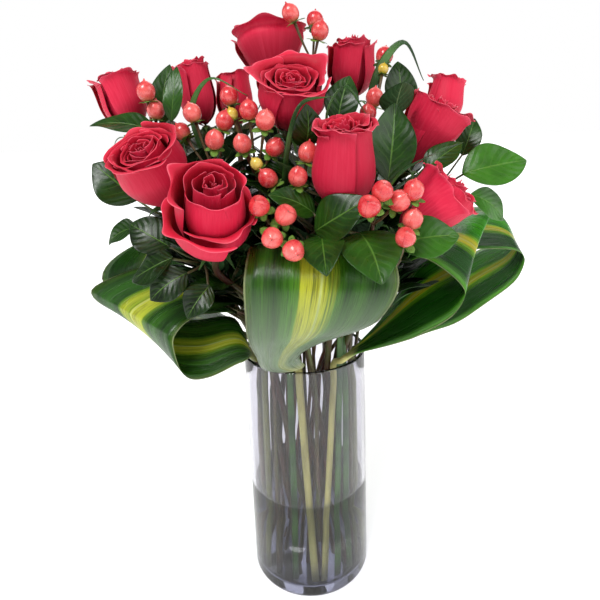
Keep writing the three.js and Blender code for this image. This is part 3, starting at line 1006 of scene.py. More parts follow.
SMOKED_GLASS = GlassFinish("smoked_glass", "#dedde4", "#aeabbb", "#75768a", 1.45)
WATER_CLEAR = GlassFinish("still_water", "#e6eaec", "#cfd2da", "#9a9dab", 1.33)
PAPER = FloorFinish("white_paper")

# Across a blade, from one edge to the other: bands of dark, mid, lime and yellow green.
FRONT_BANDS = (
    (0.00, "#446617"), (0.05, "#204709"), (0.14, "#2f5810"), (0.20, "#183808"), (0.30, "#35660d"),
    (0.36, "#467410"), (0.37, "#9da420"), (0.45, "#aaac2a"), (0.46, "#607412"), (0.47, "#a6a826"),
    (0.54, "#99a122"), (0.55, "#4b6b10"), (0.57, "#98a023"), (0.60, "#3e6c10"), (0.68, "#1e4509"),
    (0.78, "#2f5b0e"), (0.86, "#193c08"), (0.95, "#27500e"), (1.00, "#51741d"),
)
LEFT_BANDS = (
    (0.00, "#56791c"), (0.04, "#26510d"), (0.16, "#193e09"), (0.24, "#326312"), (0.30, "#1a410a"),
    (0.36, "#537b15"), (0.40, "#a9b42a"), (0.50, "#bcc039"), (0.52, "#7f981f"), (0.58, "#aab42c"),
    (0.64, "#567e16"), (0.67, "#1c460a"), (0.80, "#2a5d0f"), (0.92, "#193f09"), (1.00, "#446d18"),
)
RIGHT_BANDS = (
    (0.00, "#6ab326"), (0.05, "#308210"), (0.22, "#3f9c0f"), (0.38, "#2b7d10"), (0.42, "#80ba18"),
    (0.45, "#b2b120"), (0.53, "#c2bc2c"), (0.56, "#71ac1a"), (0.62, "#19530b"), (0.90, "#144508"),
    (1.00, "#57a122"),
)
PLAIN_BANDS = (
    (0.00, "#447024"), (0.08, "#1f4d10"), (0.36, "#2a6013"), (0.46, "#57831f"), (0.52, "#97a62c"),
    (0.56, "#47801b"), (0.70, "#1f5210"), (0.92, "#2f6616"), (1.00, "#4c7c22"),
)

# ------------------------------------------------------------------ roses


@dataclass
class Rose:
    """One rose: petals in a golden-angle spiral on a hip with five sepals, and its stem.

    The form of the outer petals is given by where the belly is (a share of the height), how wide
    the neck is (a share of the belly), how far the lip turns out and how far each petal's point
    flicks out (shares of the radius). skirt lowers the last petals round the bud, crinkle is the
    strength of the small waves along the rims, and heart is the height of the innermost petals as a
    share of the flower's.
    """

    number: int
    centre: Point
    axis: Point
    across: float
    tall: float
    rim: float
    via: tuple[Point, ...] = ()
    petals: int = 20
    belly_at: float = 0.42
    neck: float = 0.85
    lip: float = 0.14
    point: float = 0.10
    skirt: float = 0.0
    crinkle: float = 1.0
    turn: float = 0.0
    heart: float = 0.93

    HIP_RISE = 2.4
    HIP = (
        (0, -11), (2.2, -11), (2.9, -8.5), (4.4, -5.6), (5.3, -3.6), (5.2, -1.6), (4.4, -0.2),
        (3.2, 1.8), (0, 3.4),
    )
    SEPALS = 5
    KNOTS = 4
    PETAL_GRID = (20, 12)
    SEPAL_GRID = (4, 10)

    def __post_init__(self) -> None:
        """Works out the direction, the hip and the rotation of the flower head."""
        self.up = Vector(self.axis).normalized()
        self.hip = Vector(self.centre) - self.up * (self.tall / 2 + self.HIP_RISE)
        self.lie = Z_AXIS.rotation_difference(self.up)
        self.dice = random.Random(100 + self.number)

    def petal(self, k: int) -> Patch:
        """One petal.

        Args:
            k: its number, from 0 in the heart to the last one outside.
        Returns:
            The patch, its normal facing away from the flower's axis.
        """
        s = k / (self.petals - 1)
        R, H = self.across / 2, self.tall
        dice = self.dice
        start = self.turn + k * GOLDEN_ANGLE + dice.uniform(-0.25, 0.25)
        outer = smooth(0.35, 0.9, s)
        skirt = self.skirt * smooth(0.74, 0.84, s)
        bud = 1 + 0.10 * self.skirt * (1 - smooth(0.70, 0.84, s))
        belly = R * mix(0.13, 0.96, s**0.85) * dice.uniform(0.96, 1.03) * bud
        neck = belly * mix(0.46, self.neck, s**0.5)
        lip = R * self.lip * (s**1.4) * dice.uniform(0.5, 1.5)
        top = H * mix(self.heart, 0.98, s) * dice.uniform(0.94, 1.04) * (1 - 0.40 * skirt)
        foot = H * mix(0.14, 0.0, s)
        droop = H * mix(0.0, 0.03, s) * dice.uniform(0.0, 1.6)
        wrap = math.radians(mix(128, 74, s**0.5))
        low = mix(0.35, self.belly_at, s)
        profile = [
            Vector((R * 0.12, 0, foot)),
            Vector((belly * mix(0.66, 0.42, smooth(0.4, 0.8, low)), 0, mix(foot, top, low * 0.32))),
            Vector((belly * 0.985, 0, mix(foot, top, low))),
            Vector((mix(belly, neck, 0.55), 0, mix(foot, top, mix(low, 0.95, 0.55)))),
            Vector((neck + lip * 0.05, 0, mix(foot, top, 0.92))),
            Vector((neck + lip * 0.5, 0, mix(foot, top, 0.985))),
            Vector((neck + lip, 0, top - droop)),
        ]
        line = spline(profile, 8)
        waves = [dice.uniform(0, TURN) for _ in range(5)]
        skew = dice.uniform(-0.28, 0.16)
        roll_out = dice.uniform(0.4, 1.4)
        flick = self.point * dice.uniform(0.5, 1.5)
        shoulder = mix(0.10, 0.24, s) * dice.uniform(0.7, 1.2)

        def place(u: float, v: float) -> Vector:
            """The petal's point; u goes round the flower and v from base to rim.

            Args:
                u: place round the flower.
                v: place from base to rim.
            Returns:
                A point on the petal.
            """
            t = (v + 1) / 2
            end = 1 - shoulder * abs(u) ** 2.6
            p = point_on(line, clamp(t * end))
            r, z = p.x, p.z
            rim = t**4
            roll = smooth(0.25, 1.0, abs(u)) * roll_out
            r += outer * rim * roll * R * 0.10
            z -= outer * rim * roll * H * 0.03
            tip = math.exp(-((u / 0.15) ** 2)) * t**8
            r += outer * tip * R * flick
            z += (0.25 + 0.75 * outer) * tip * H * flick * 0.3
            r += R * 0.05 * u + R * 0.045 * math.sin(3.1 * u + waves[0]) * t * t
            r += R * 0.032 * math.sin(8.5 * u + waves[2]) * rim * (0.4 + outer)
            z += H * 0.024 * math.sin(4.3 * u + waves[1]) * rim
            fine = math.sin(11 * u + waves[3]) + 0.6 * math.sin(23 * u + waves[4])
            z += H * self.crinkle * 0.012 * fine * rim
            r = max(r, 0.4)
            a = start + wrap * u * mix(0.7, 1.0, t**0.6) + skew * t
            spot = Vector((r * math.cos(a), r * math.sin(a), z + self.HIP_RISE))
            return self.hip + self.lie @ spot

        return Patch(*self.PETAL_GRID, place, 0, dice.uniform(0.2, 1.0))

    def stem_path(self) -> list[Vector]:
        """The stem's middle line from its cut foot to the hip.

        Returns:
            Its points.
        """
        points = in_vase(self.rim, None, Ring.MIDDLE)
        points += [Vector(p) for p in self.via]
        points += [self.hip - self.up * 28, self.hip - self.up * 5]
        return spline(points, 8)

    def sepal(self, k: int) -> Patch:
        """One sepal, which arches out under the flower and curls down at its point.

        Args:
            k: its number round the hip.
        Returns:
            The patch, its normal on the underside.
        """
        angle = self.turn + math.radians(360 / self.SEPALS * k + 20)
        long = self.dice.uniform(15, 21)
        droop = self.dice.uniform(0.5, 1.2)
        line = spline(
            [Vector((4.2, 0, -2.6)), Vector((7.5, 0, -0.6)), Vector((11.5, 0, 0.2)),
             Vector((15, 0, -2.4 * droop)), Vector((long - 1, 0, -7.5 * droop))], 5)
        out = Matrix.Rotation(angle, 3, "Z")

        def place(u: float, v: float) -> Vector:
            """The sepal's point; it narrows to a thread-like tip.

            Args:
                u: place across it.
                v: place from base to tip.
            Returns:
                A point on the sepal.
            """
            t = (v + 1) / 2
            p = point_on(line, t)
            half = 3.3 * (1 - t) ** 0.8 * (0.75 + 0.5 * math.sin(math.pi * min(t * 1.6, 1))) + 0.15
            return self.hip + self.lie @ (out @ Vector((p.x, u * half, p.z + 0.18 * half * u * u)))

        return Patch(*self.SEPAL_GRID, place, 1, self.dice.uniform(0.3, 0.7))

    def build(self) -> None:
        """Makes the flower head and the stem, and dresses both."""
        name = f"rose_{self.number:02d}"
        head = sheets(f"{name}_petals", [self.petal(k) for k in range(self.petals)], PETAL_SKIN)
        dress(head, [PETAL_BACK, PETAL_FACE], f"{name}_bloom")
        path = self.stem_path()
        knots = [self.dice.uniform(0.15, 0.9) for _ in range(self.KNOTS)]

        def girth(t: float) -> float:
            """Stem radius, thicker at its foot and at each knot."""
            knot = sum(math.exp(-(((t - k) / 0.012) ** 2)) for k in knots)
            return ROSE_STEM * (mix(1.1, 0.92, t) + 0.16 * knot)

        hip = turned(self.hip, self.up, self.HIP, 14, tone=0.25)
        body = solids(f"{name}_rod", [rod(path, girth, 12), hip])
        sepals = [self.sepal(k) for k in range(self.SEPALS)]
        stem = joined(f"{name}_stem_and_hip", [body, sheets(f"{name}_sepals", sepals, LEAF_SKIN)])
        dress(stem, [ROSE_STALK, SEPAL_SKIN, SEPAL_SKIN], f"{name}_stem")


ROSES = (
    Rose(1, (-133, 10, 401), (-0.24, 0, 0.97), 37, 44, 183, petals=12, belly_at=0.42, neck=0.98,
         lip=0.22, point=0.34, crinkle=1.2, turn=0.4, heart=1.0),
    Rose(2, (-79, 35, 408), (-0.16, 0, 0.98), 34, 52, 155, petals=12, belly_at=0.38, neck=0.90,
         lip=0.06, point=0.05, crinkle=1.6, turn=2.0, heart=0.99),
    Rose(3, (-17, 25, 429), (-0.08, 0.16, 0.98), 62, 50, 95, petals=16, belly_at=0.80, neck=0.96,
         lip=0.14, point=0.22, crinkle=0.5, turn=2.3),
    Rose(4, (-3, -35, 395), (0.08, -0.58, 0.81), 54, 46, 275, petals=17, belly_at=0.60, neck=0.90,
         lip=0.20, point=0.22, turn=0.9),
    Rose(5, (48, 40, 423), (0.03, -0.1, 1), 41, 46, 48, petals=14, belly_at=0.42, neck=0.94,
         lip=0.06, point=0.12, crinkle=2.0, turn=2.6, heart=1.02),
    Rose(6, (134, 75, 396), (0.2, 0.1, 0.97), 36, 44, 22, ((55, 40, 290),), petals=12, lip=0.2,
         point=0.2, crinkle=1.4),
    Rose(7, (97, -10, 369), (0.5, -0.2, 0.84), 47, 52, 348, petals=18, belly_at=0.66, neck=1.04,
         lip=0.08, point=0.06, crinkle=2.0, turn=0.9, heart=1.0),
    Rose(8, (28, -80, 354), (0.02, -0.29, 0.96), 45, 56, 299, petals=16, belly_at=0.34, neck=0.76,
         lip=0.26, point=0.12, crinkle=1.6, turn=1.5, heart=0.97),
    Rose(9, (-95, -60, 351), (-0.2, -0.54, 0.82), 52, 50, 211, petals=22, belly_at=0.55, neck=0.90,
         lip=0.10, point=0.08, crinkle=0.6, turn=0.5),
    Rose(10, (-51, -97, 328), (0.1, -0.6, 0.79), 52, 54, 250, ((-24, -52, 250),), petals=13,
         belly_at=0.50, neck=1.02, lip=0.10, point=0.20, skirt=1.0, crinkle=1.0, turn=0.1,
         heart=1.0),
    Rose(11, (86, -60, 320), (0.72, -0.15, 0.67), 44, 50, 324, ((44, -42, 250), (58, -56, 286)),
         petals=17, belly_at=0.66, neck=1.04, lip=0.06, point=0.06, crinkle=2.2, turn=2.9,
         heart=1.04),
    Rose(12, (-52, 65, 404), (-0.05, 0.25, 0.97), 35, 46, 125, petals=12, turn=0.8),
)

# ------------------------------------------------------------------ aspidistra loops


def strap_patch(
    centres: Sequence[Vector], halves: Sequence[Vector], thick: Callable[[float], float],
    camber: float, ripple: float, around: int = 24, plain: bool = False,
) -> Patch:
    """A long flat blade with rounded edges, closed at both ends.

    Args:
        centres: its middle line.
        halves: from the middle line to one edge, at each point.
        thick: half thickness in mm for a half width in mm.
        camber: how far its middle stands back, as a share of the half width.
        ripple: height of the waves at its edges, mm.
        around: faces round it.
        plain: True gives one tone all over, and otherwise tone tells stalk from blade.
    Returns:
        The patch.
    """
    last = len(centres) - 1
    lengths = run_lengths(centres)
    normals = [
        (centres[min(i + 1, last)] - centres[max(i - 1, 0)]).cross(halves[i]).normalized()
        for i in range(last + 1)
    ]

    def side(u: float) -> tuple[float, float]:
        """Place across from 1 to -1, and which face: 1 upper, -1 under."""
        return 1 - 2 * abs(u), 1.0 if u >= 0 else -1.0

    def place(u: float, v: float) -> Vector:
        """The point on the blade's skin.

        Args:
            u: place round the blade.
            v: place along it, ends included.
        Returns:
            A point on the skin.
        """
        i, closing = station(v, last)
        x, face = side(u)
        half = halves[i]
        width = half.length
        broad = clamp((width - 4) / 14)
        if closing:
            x, lift = 0.0, 0.0
        else:
            section = 1 - x**4 if broad > 0.3 else 1 - x * x
            lift = face * thick(width) * math.sqrt(max(0.0, section))
        lift -= camber * width * (1 - x * x) * broad
        lift += ripple * broad * abs(x) ** 3 * math.sin(lengths[i] * 0.11 + (0 if x > 0 else 2.0))
        return centres[i] + half * x + normals[i] * lift

    def texture(u: float, v: float) -> tuple[float, float]:
        """Share of the width from the far edge, and length in metres."""
        return (side(u)[0] + 1) / 2, lengths[station(v, last)[0]] * MM

    def tone(u: float, v: float) -> float:
        """0 on the stalk and 1 where the blade is broad."""
        return clamp((halves[station(v, last)[0]].length - 3.2) / 14)

    return Patch(around, last + 2, place, 0, 0.5 if plain else tone, texture)


@dataclass
class LeafLoop:
    """One aspidistra leaf: a stalk in the vase and a blade that turns back over itself.

    stations are the blade's middle line, each with the way from there to one edge.
    """

    place: str
    rim: float
    foot: float
    stations: tuple[tuple[Point, Point], ...]
    bands: tuple[tuple[float, str], ...]
    stalk: str = "#72783c"
    # Strength of the painted grey reflection on the blade's lower part.
    reflection_share: float = 0.0

    def build(self) -> None:
        """Makes the leaf as one skin and dresses it."""
        lower = in_vase(self.rim, self.foot, Ring.OUTER)
        lower += [
            polar(Ring.OUTER.value[0] + 0.5, self.rim, VASE_HEIGHT + 0.5),
            polar(VASE_RADIUS + 1.5, self.rim, VASE_HEIGHT + PETIOLE + 3.5),
        ]
        flat = Vector(self.stations[0][1]).to_2d().to_3d().normalized() * PETIOLE
        centres = spline(lower + [Vector(c) for c, _ in self.stations], 7)
        halves = spline([flat] * len(lower) + [Vector(h) for _, h in self.stations], 7)

        def thick(half: float) -> float:
            """Half the thickness: a round stalk, then a thin blade."""
            return mix(2.4, 0.35, clamp(half / 14 - 0.25))

        skin = solids(f"leaf_loop_{self.place}", [strap_patch(centres, halves, thick, 0.05, 0.7)])
        finish = StrapFinish(f"blade_{self.place}", self.bands, self.stalk, self.reflection_share)
        dress(skin, [finish], f"aspidistra_{self.place}")


LOOPS = (
    # The front leaf carries a painted grey reflection on its lower part.
    LeafLoop("front", 263, 273, (
        ((-7, -59, 209), (7, 0, 2)), ((-15, -76, 221), (12, 0, 5)), ((-9, -93, 239), (22, 0, 4)),
        ((5, -107, 259), (40, 0, 2)), ((12, -107, 289), (46, 0, -4)), ((12, -89, 304), (43, 0, -3)),
        ((12, -72, 293), (30, 0, 0)), ((14, -60, 252), (5, 0, 0))), FRONT_BANDS, "#cfcb7c", 0.6),
    LeafLoop("left", 220, 216, (
        ((-49, -37, 223), (-4, 13, 12)), ((-79, -42, 220), (-9, 20, 15)),
        ((-112, -45, 227), (-28, 26, 13)), ((-130, -37, 247), (-41, 37, 8)),
        ((-98, -28, 262), (-26, 33, 10)), ((-76, -34, 258), (-12, 20, 7)),
        ((-54, -38, 250), (-3, 6, 3))), LEFT_BANDS),
    LeafLoop("left_back", 167, 170, (
        ((-72, 28, 207), (10, 18, 0)), ((-112, 50, 216), (16, 30, 0)),
        ((-145, 60, 262), (25, 38, 4)), ((-118, 52, 288), (20, 36, 0)),
        ((-84, 42, 286), (10, 24, 0)), ((-62, 34, 274), (3, 6, 0))),
        PLAIN_BANDS),
    LeafLoop("right", 303, 282.5, (
        ((56, -34, 224), (-7, -16, -7)), ((93, -32, 256), (-13, -30, -25)),
        ((121, -38, 275), (-17, -33, -24)), ((130, -37, 286), (-21, -36, -19)),
        ((113, -33, 297), (-26, -33, -11)), ((84, -28, 289), (-11, -22, -7)),
        ((66, -24, 278), (-2, -7, -2))), RIGHT_BANDS, "#cfcb7c"),
    LeafLoop("right_back", 340, 343, (
        ((66, -8, 210), (-1, -10, -3)), ((92, 8, 219), (-2, -20, -10)),
        ((126, 22, 230), (-2, -24, -15)), ((158, 30, 246), (-4, -24, -17)),
        ((182, 32, 260), (-3, -22, -12)), ((189, 33, 271), (-3, -21, -8)),
        ((180, 29, 283), (-2, -22, -10)), ((156, 24, 290), (-2, -22, -14)),
        ((122, 24, 286), (-2, -18, -12)), ((86, 26, 268), (0, -7, -2))), RIGHT_BANDS),
    LeafLoop("back_right", 62, 60, (
        ((40, 62, 208), (18, -10, 0)), ((62, 100, 222), (32, -18, 0)),
        ((72, 125, 258), (38, -22, 0)), ((60, 102, 285), (36, -20, 0)),
        ((44, 74, 285), (22, -12, 0)), ((34, 56, 270), (6, -4, 0))),
        FRONT_BANDS),
    LeafLoop("back_left", 112, 115, (
        ((-24, 66, 208), (18, 8, 0)), ((-42, 104, 220), (32, 15, 0)),
        ((-55, 128, 254), (36, 17, 0)), ((-46, 108, 281), (34, 16, 0)),
        ((-34, 80, 282), (22, 10, 0)), ((-26, 60, 268), (6, 3, 0))),
        PLAIN_BANDS),
)

# ------------------------------------------------------------------ hypericum


@dataclass
class BerrySpray:
    """A forked twig with its berries, each on a short stalk with a small calyx."""

    number: int
    rim: float
    fork: Point
    berries: tuple[Point, ...]
    via: tuple[Point, ...] = ()
    young: tuple[Point, ...] = ()

    YOUNG_SIZE = 0.62
    CALYX_LOBES = 5
    MIDDLE = 7.25
    PROFILE = (
        (0, 0.6), (1.6, 0.5), (3.6, 1.2), (5.2, 2.9), (6.1, 5.0), (6.4, 7.4), (6.0, 9.6),
        (4.9, 11.6), (3.2, 13.2), (1.5, 14.1), (0.75, 14.6), (0.5, 15.6), (0, 15.9),
    )

    def berry(
        self, spot: Vector, fork: Vector, dice: random.Random, slot: int, size: float
    ) -> list[Patch]:
        """One berry, its calyx and its stalk.

        Args:
            spot: its centre.
            fork: where its stalk starts.
            dice: its own chances.
            slot: the berry's material slot.
            size: its size against a ripe one.
        Returns:
            The patches.
        """
        axis = (spot - fork).normalized()
        start = spot - axis * (self.MIDDLE * size)
        shape = [(r * size, z * size) for r, z in self.PROFILE]
        turn = dice.uniform(0, 2)

        def lobes(a: float, t: float) -> float:
            """Three soft lobes."""
            return 0.035 * math.cos(3 * a + turn) * math.sin(math.pi * t)

        bow = fork.lerp(start, 0.5) + Vector((0, 0, -1.5))
        patches = [
            turned(start, axis, shape, 18, slot, dice.uniform(0.1, 0.9), lobes),
            rod(spline([fork, bow, start + axis], 3), lambda t: mix(0.8, 1.25, t**3), 6),
        ]
        lie = Z_AXIS.rotation_difference(axis)
        for k in range(self.CALYX_LOBES):
            spin = lie @ Quaternion(Z_AXIS, turn + math.radians(360 / self.CALYX_LOBES * k))
            patches.append(self.calyx(start, spin, dice.uniform(0.8, 1.15) * size))
        return patches

    @staticmethod
    def calyx(base: Vector, spin: Quaternion, size: float) -> Patch:
        """One calyx lobe: a small closed leaf that lies back under the berry.

        Args:
            base: the foot of the berry.
            spin: turns the lobe from the X axis to its own way out.
            size: its size against a usual one.
        Returns:
            The patch.
        """

        def place(u: float, v: float) -> Vector:
            """The lobe's skin, as a flat lens.

            Args:
                u: place round the lobe.
                v: place from base to tip.
            Returns:
                A point on the skin.
            """
            t = (v + 1) / 2
            x, face = 1 - 2 * abs(u), (1 if u >= 0 else -1)
            wide = 0 if v in (-1, 1) else 1
            half = 2.7 * math.sin(math.pi * clamp(t * 0.94 + 0.03)) ** 0.7 * size * wide
            out = mix(0.6, 8.2, t) * size
            lift = mix(0.2, 1.1, t) + face * 0.22 * (1 - x * x) * wide
            return base + spin @ Vector((out, x * half, lift - 1.6 * t * t * size))

        return Patch(8, 6, place, 3, 0.6)

    def build(self) -> None:
        """Makes the spray and dresses it."""
        dice = random.Random(300 + self.number)
        fork = Vector(self.fork)
        points = in_vase(self.rim, None, Ring.INNER) + [Vector(p) for p in self.via] + [fork]
        patches = [rod(spline(points, 8), lambda t: BERRY_STEM * mix(1.05, 0.85, t), 8)]
        for spot in self.berries:
            patches += self.berry(Vector(spot), fork, dice, 1, dice.uniform(0.93, 1.04))
        for spot in self.young:
            patches += self.berry(Vector(spot), fork, dice, 2, self.YOUNG_SIZE)
        spray = solids(f"berry_spray_{self.number:02d}", patches)
        skins = [PETIOLE_SKIN, CORAL_BERRY, YOUNG_BERRY, CALYX_SKIN]
        dress(spray, skins, f"hypericum_{self.number:02d}")


SPRAYS = (
    BerrySpray(1, 70, (14, -1, 425), ((-1, -5, 459), (17, 6, 456), (20, -6, 446))),
    BerrySpray(2, 195, (-103, -18, 366), ((-106, -20, 407), (-101, -17, 394))),
    BerrySpray(3, 218, (-56, -44, 345),
               ((-80, -33, 378), (-70, -42, 390), (-53, -62, 372), (-47, -52, 384))),
    BerrySpray(4, 266, (-28, -48, 345),
               ((-35, -64, 369), (-30, -60, 390), (-19, -72, 383), (-14, -66, 366),
                (-44, -44, 400)), young=((-42, -52, 388),)),
    BerrySpray(5, 290, (0, -66, 322), ((0, -82, 348), (7, -70, 362), (-19, -74, 347)),
               ((12, -38, 255), (8, -52, 300)), ((-26, -70, 356),)),
    BerrySpray(6, 250, (-16, -72, 313),
               ((-23, -106, 334), (-8, -106, 328), (-16, -112, 316), (-4, -116, 309)),
               ((-12, -46, 262), (-16, -58, 296))),
    BerrySpray(7, 354, (53, -16, 365), ((57, -20, 397), (51, -28, 386), (69, 8, 429)),
               young=((66, -4, 418),)),
    BerrySpray(8, 306, (46, -82, 316), ((47, -114, 341), (39, -117, 333), (58, -106, 334)),
               ((34, -52, 255), (46, -68, 296))),
    BerrySpray(9, 322, (62, -88, 294), ((66, -107, 340), (66, -105, 323), (60, -114, 314)),
               ((42, -56, 250),)),
    BerrySpray(10, 20, (60, 78, 330), ((66, 92, 358), (54, 100, 352), (74, 98, 345))),
)

# ------------------------------------------------------------------ broad leaves


def leaf_patch(
    start: Vector, tip: Vector, wide: float, face: Vector, dice: random.Random, tone: float,
    grid: tuple[int, int], arch: float = 0.35,
) -> Patch:
    """A broad pointed leaf, folded along its midrib, arched and a little wavy.

    Args:
        start: its base.
        tip: its tip.
        wide: mm across.
        face: where its upper side looks.
        dice: its own chances.
        tone: how light it is.
        grid: faces across and along.
        arch: how far it bows out, as a share of its length.
    Returns:
        The patch, its normal on the upper side, in the second and third material slots.
    """
    run = tip - start
    look = (face - run * (face.dot(run) / run.length_squared)).normalized()
    side = run.cross(look).normalized()
    fold = dice.uniform(0.10, 0.26)
    wave = dice.uniform(0.4, 1.3)
    phase = dice.uniform(0, TURN)
    sway = dice.uniform(-0.05, 0.05) * run.length
    twist = dice.uniform(-0.25, 0.25)

    def place(u: float, v: float) -> Vector:
        """The leaf's point; u across and v from base to tip.

        Args:
            u: place across the leaf.
            v: place from base to tip.
        Returns:
            A point on the leaf.
        """
        t = (v + 1) / 2
        outline = math.sin(math.pi * clamp(t) ** 0.86) ** 0.72 * (1 - 0.25 * t**3)
        half = wide / 2 * max(outline, 0.05 if t < 0.5 else 0.015)
        lift = arch * run.length * t * (1 - t) + fold * half * abs(u) ** 1.4
        swing = math.sin(9 * t + phase + (0 if u > 0 else 1.7))
        lift += wave * abs(u) ** 2 * swing * min(1, half / 8)
        lift += twist * half * u * t
        middle = start + run * t + side * (sway * math.sin(math.pi * t))
        return middle + side * (half * u) + look * lift

    return Patch(*grid, place, 1, tone)


@dataclass
class Leaf:
    """One broad leaf of a branch."""

    start: Point
    tip: Point
    wide: float
    face: Point
    # How light the leaf is: partly its own green, partly painted light and shade for its place.
    tone: float = 0.5


@dataclass
class LeafBranch:
    """A branch of foliage: its stem, its leaves and the small ones that fill the bunch."""

    number: int
    rim: float
    stem: tuple[Point, ...]
    leaves: tuple[Leaf, ...]
    foot: float | None = None
    ring: Ring = Ring.OUTER
    low: float = STEM_FOOT
    filler: int = 46

    BARE_TO = 215.0
    LEAF_GRID = (8, 14)
    # The small leaves: tries for each, ranges in mm and of tone, arch and faces. Their tones are
    # kept low: painted shade for the inside of the bunch.
    TRIES = 8
    REACH = (5, 46)
    LENGTH = (28, 48)
    WIDTH = (18, 27)
    SHADE = (0.0, 0.45)
    ARCH = 0.2
    SMALL_GRID = (6, 9)

    def build(self, keep_clear: Callable[[Vector], bool]) -> None:
        """Makes the branch and dresses it.

        Args:
            keep_clear: True for a point that a small leaf may not reach.
        """
        dice = random.Random(500 + self.number)
        lower = in_vase(self.rim, self.foot, self.ring, self.low)
        path = spline(lower + [Vector(p) for p in self.stem], 6)
        free = [p for p in path if p.z > self.BARE_TO]
        rods = [rod(path, lambda t: LEAF_STEM * mix(1.1, 0.7, t), 8)]
        blades = []
        for leaf in self.leaves:
            start, tip = Vector(leaf.start), Vector(leaf.tip)
            joint = min(free, key=lambda p: (p - start).length)
            inwards = (tip - start).normalized()
            bow = joint.lerp(start, 0.5) - Z_AXIS
            rods.append(rod([joint, bow, start + inwards * 2], TWIG, 6))
            face = Vector(leaf.face)
            blades.append(leaf_patch(start, tip, leaf.wide, face, dice, leaf.tone, self.LEAF_GRID))
        stalks, small = self.small_leaves(free, dice, keep_clear)
        body = solids(f"branch_{self.number:02d}_rods", rods + stalks)
        skin = sheets(f"branch_{self.number:02d}_leaves", blades + small, LEAF_SKIN)
        branch = joined(f"leaf_branch_{self.number:02d}", [body, skin])
        skins = [TWIG_SKIN, DARK_LEAF, DARK_LEAF_UNDER]
        dress(branch, skins, f"foliage_{self.number:02d}")

    def small_leaves(
        self, free: Sequence[Vector], dice: random.Random, keep_clear: Callable[[Vector], bool]
    ) -> tuple[list[Patch], list[Patch]]:
        """Leaves up the stem, turned round it by the golden angle, where there is room.

        Args:
            free: the stem above the vase.
            dice: the branch's own chances.
            keep_clear: True for a point that a leaf may not reach.
        Returns:
            Their stalks and their blades.
        """
        stalks, blades = [], []
        for k in range(self.filler * self.TRIES):
            if len(blades) >= self.filler:
                break
            joint = free[int(mix(0, len(free) - 1, dice.random() ** 1.2))]
            a = k * GOLDEN_ANGLE + dice.uniform(-0.3, 0.3)
            out = Vector((math.cos(a), math.sin(a), dice.uniform(0.1, 1.1))).normalized()
            start = joint + out * dice.uniform(*self.REACH)
            tip = start + out * dice.uniform(*self.LENGTH)
            if any(keep_clear(start.lerp(tip, t)) for t in (0.2, 0.5, 0.8, 1.0)):
                continue
            face = Z_AXIS - out * 0.6 + Vector((out.x, out.y, 0)) * -0.3
            stalks.append(rod([joint, start + out * 2], 0.7, 5))
            wide, tone = dice.uniform(*self.WIDTH), dice.uniform(*self.SHADE)
            blades.append(
                leaf_patch(start, tip, wide, face, dice, tone, self.SMALL_GRID, self.ARCH)
            )
        return stalks, blades


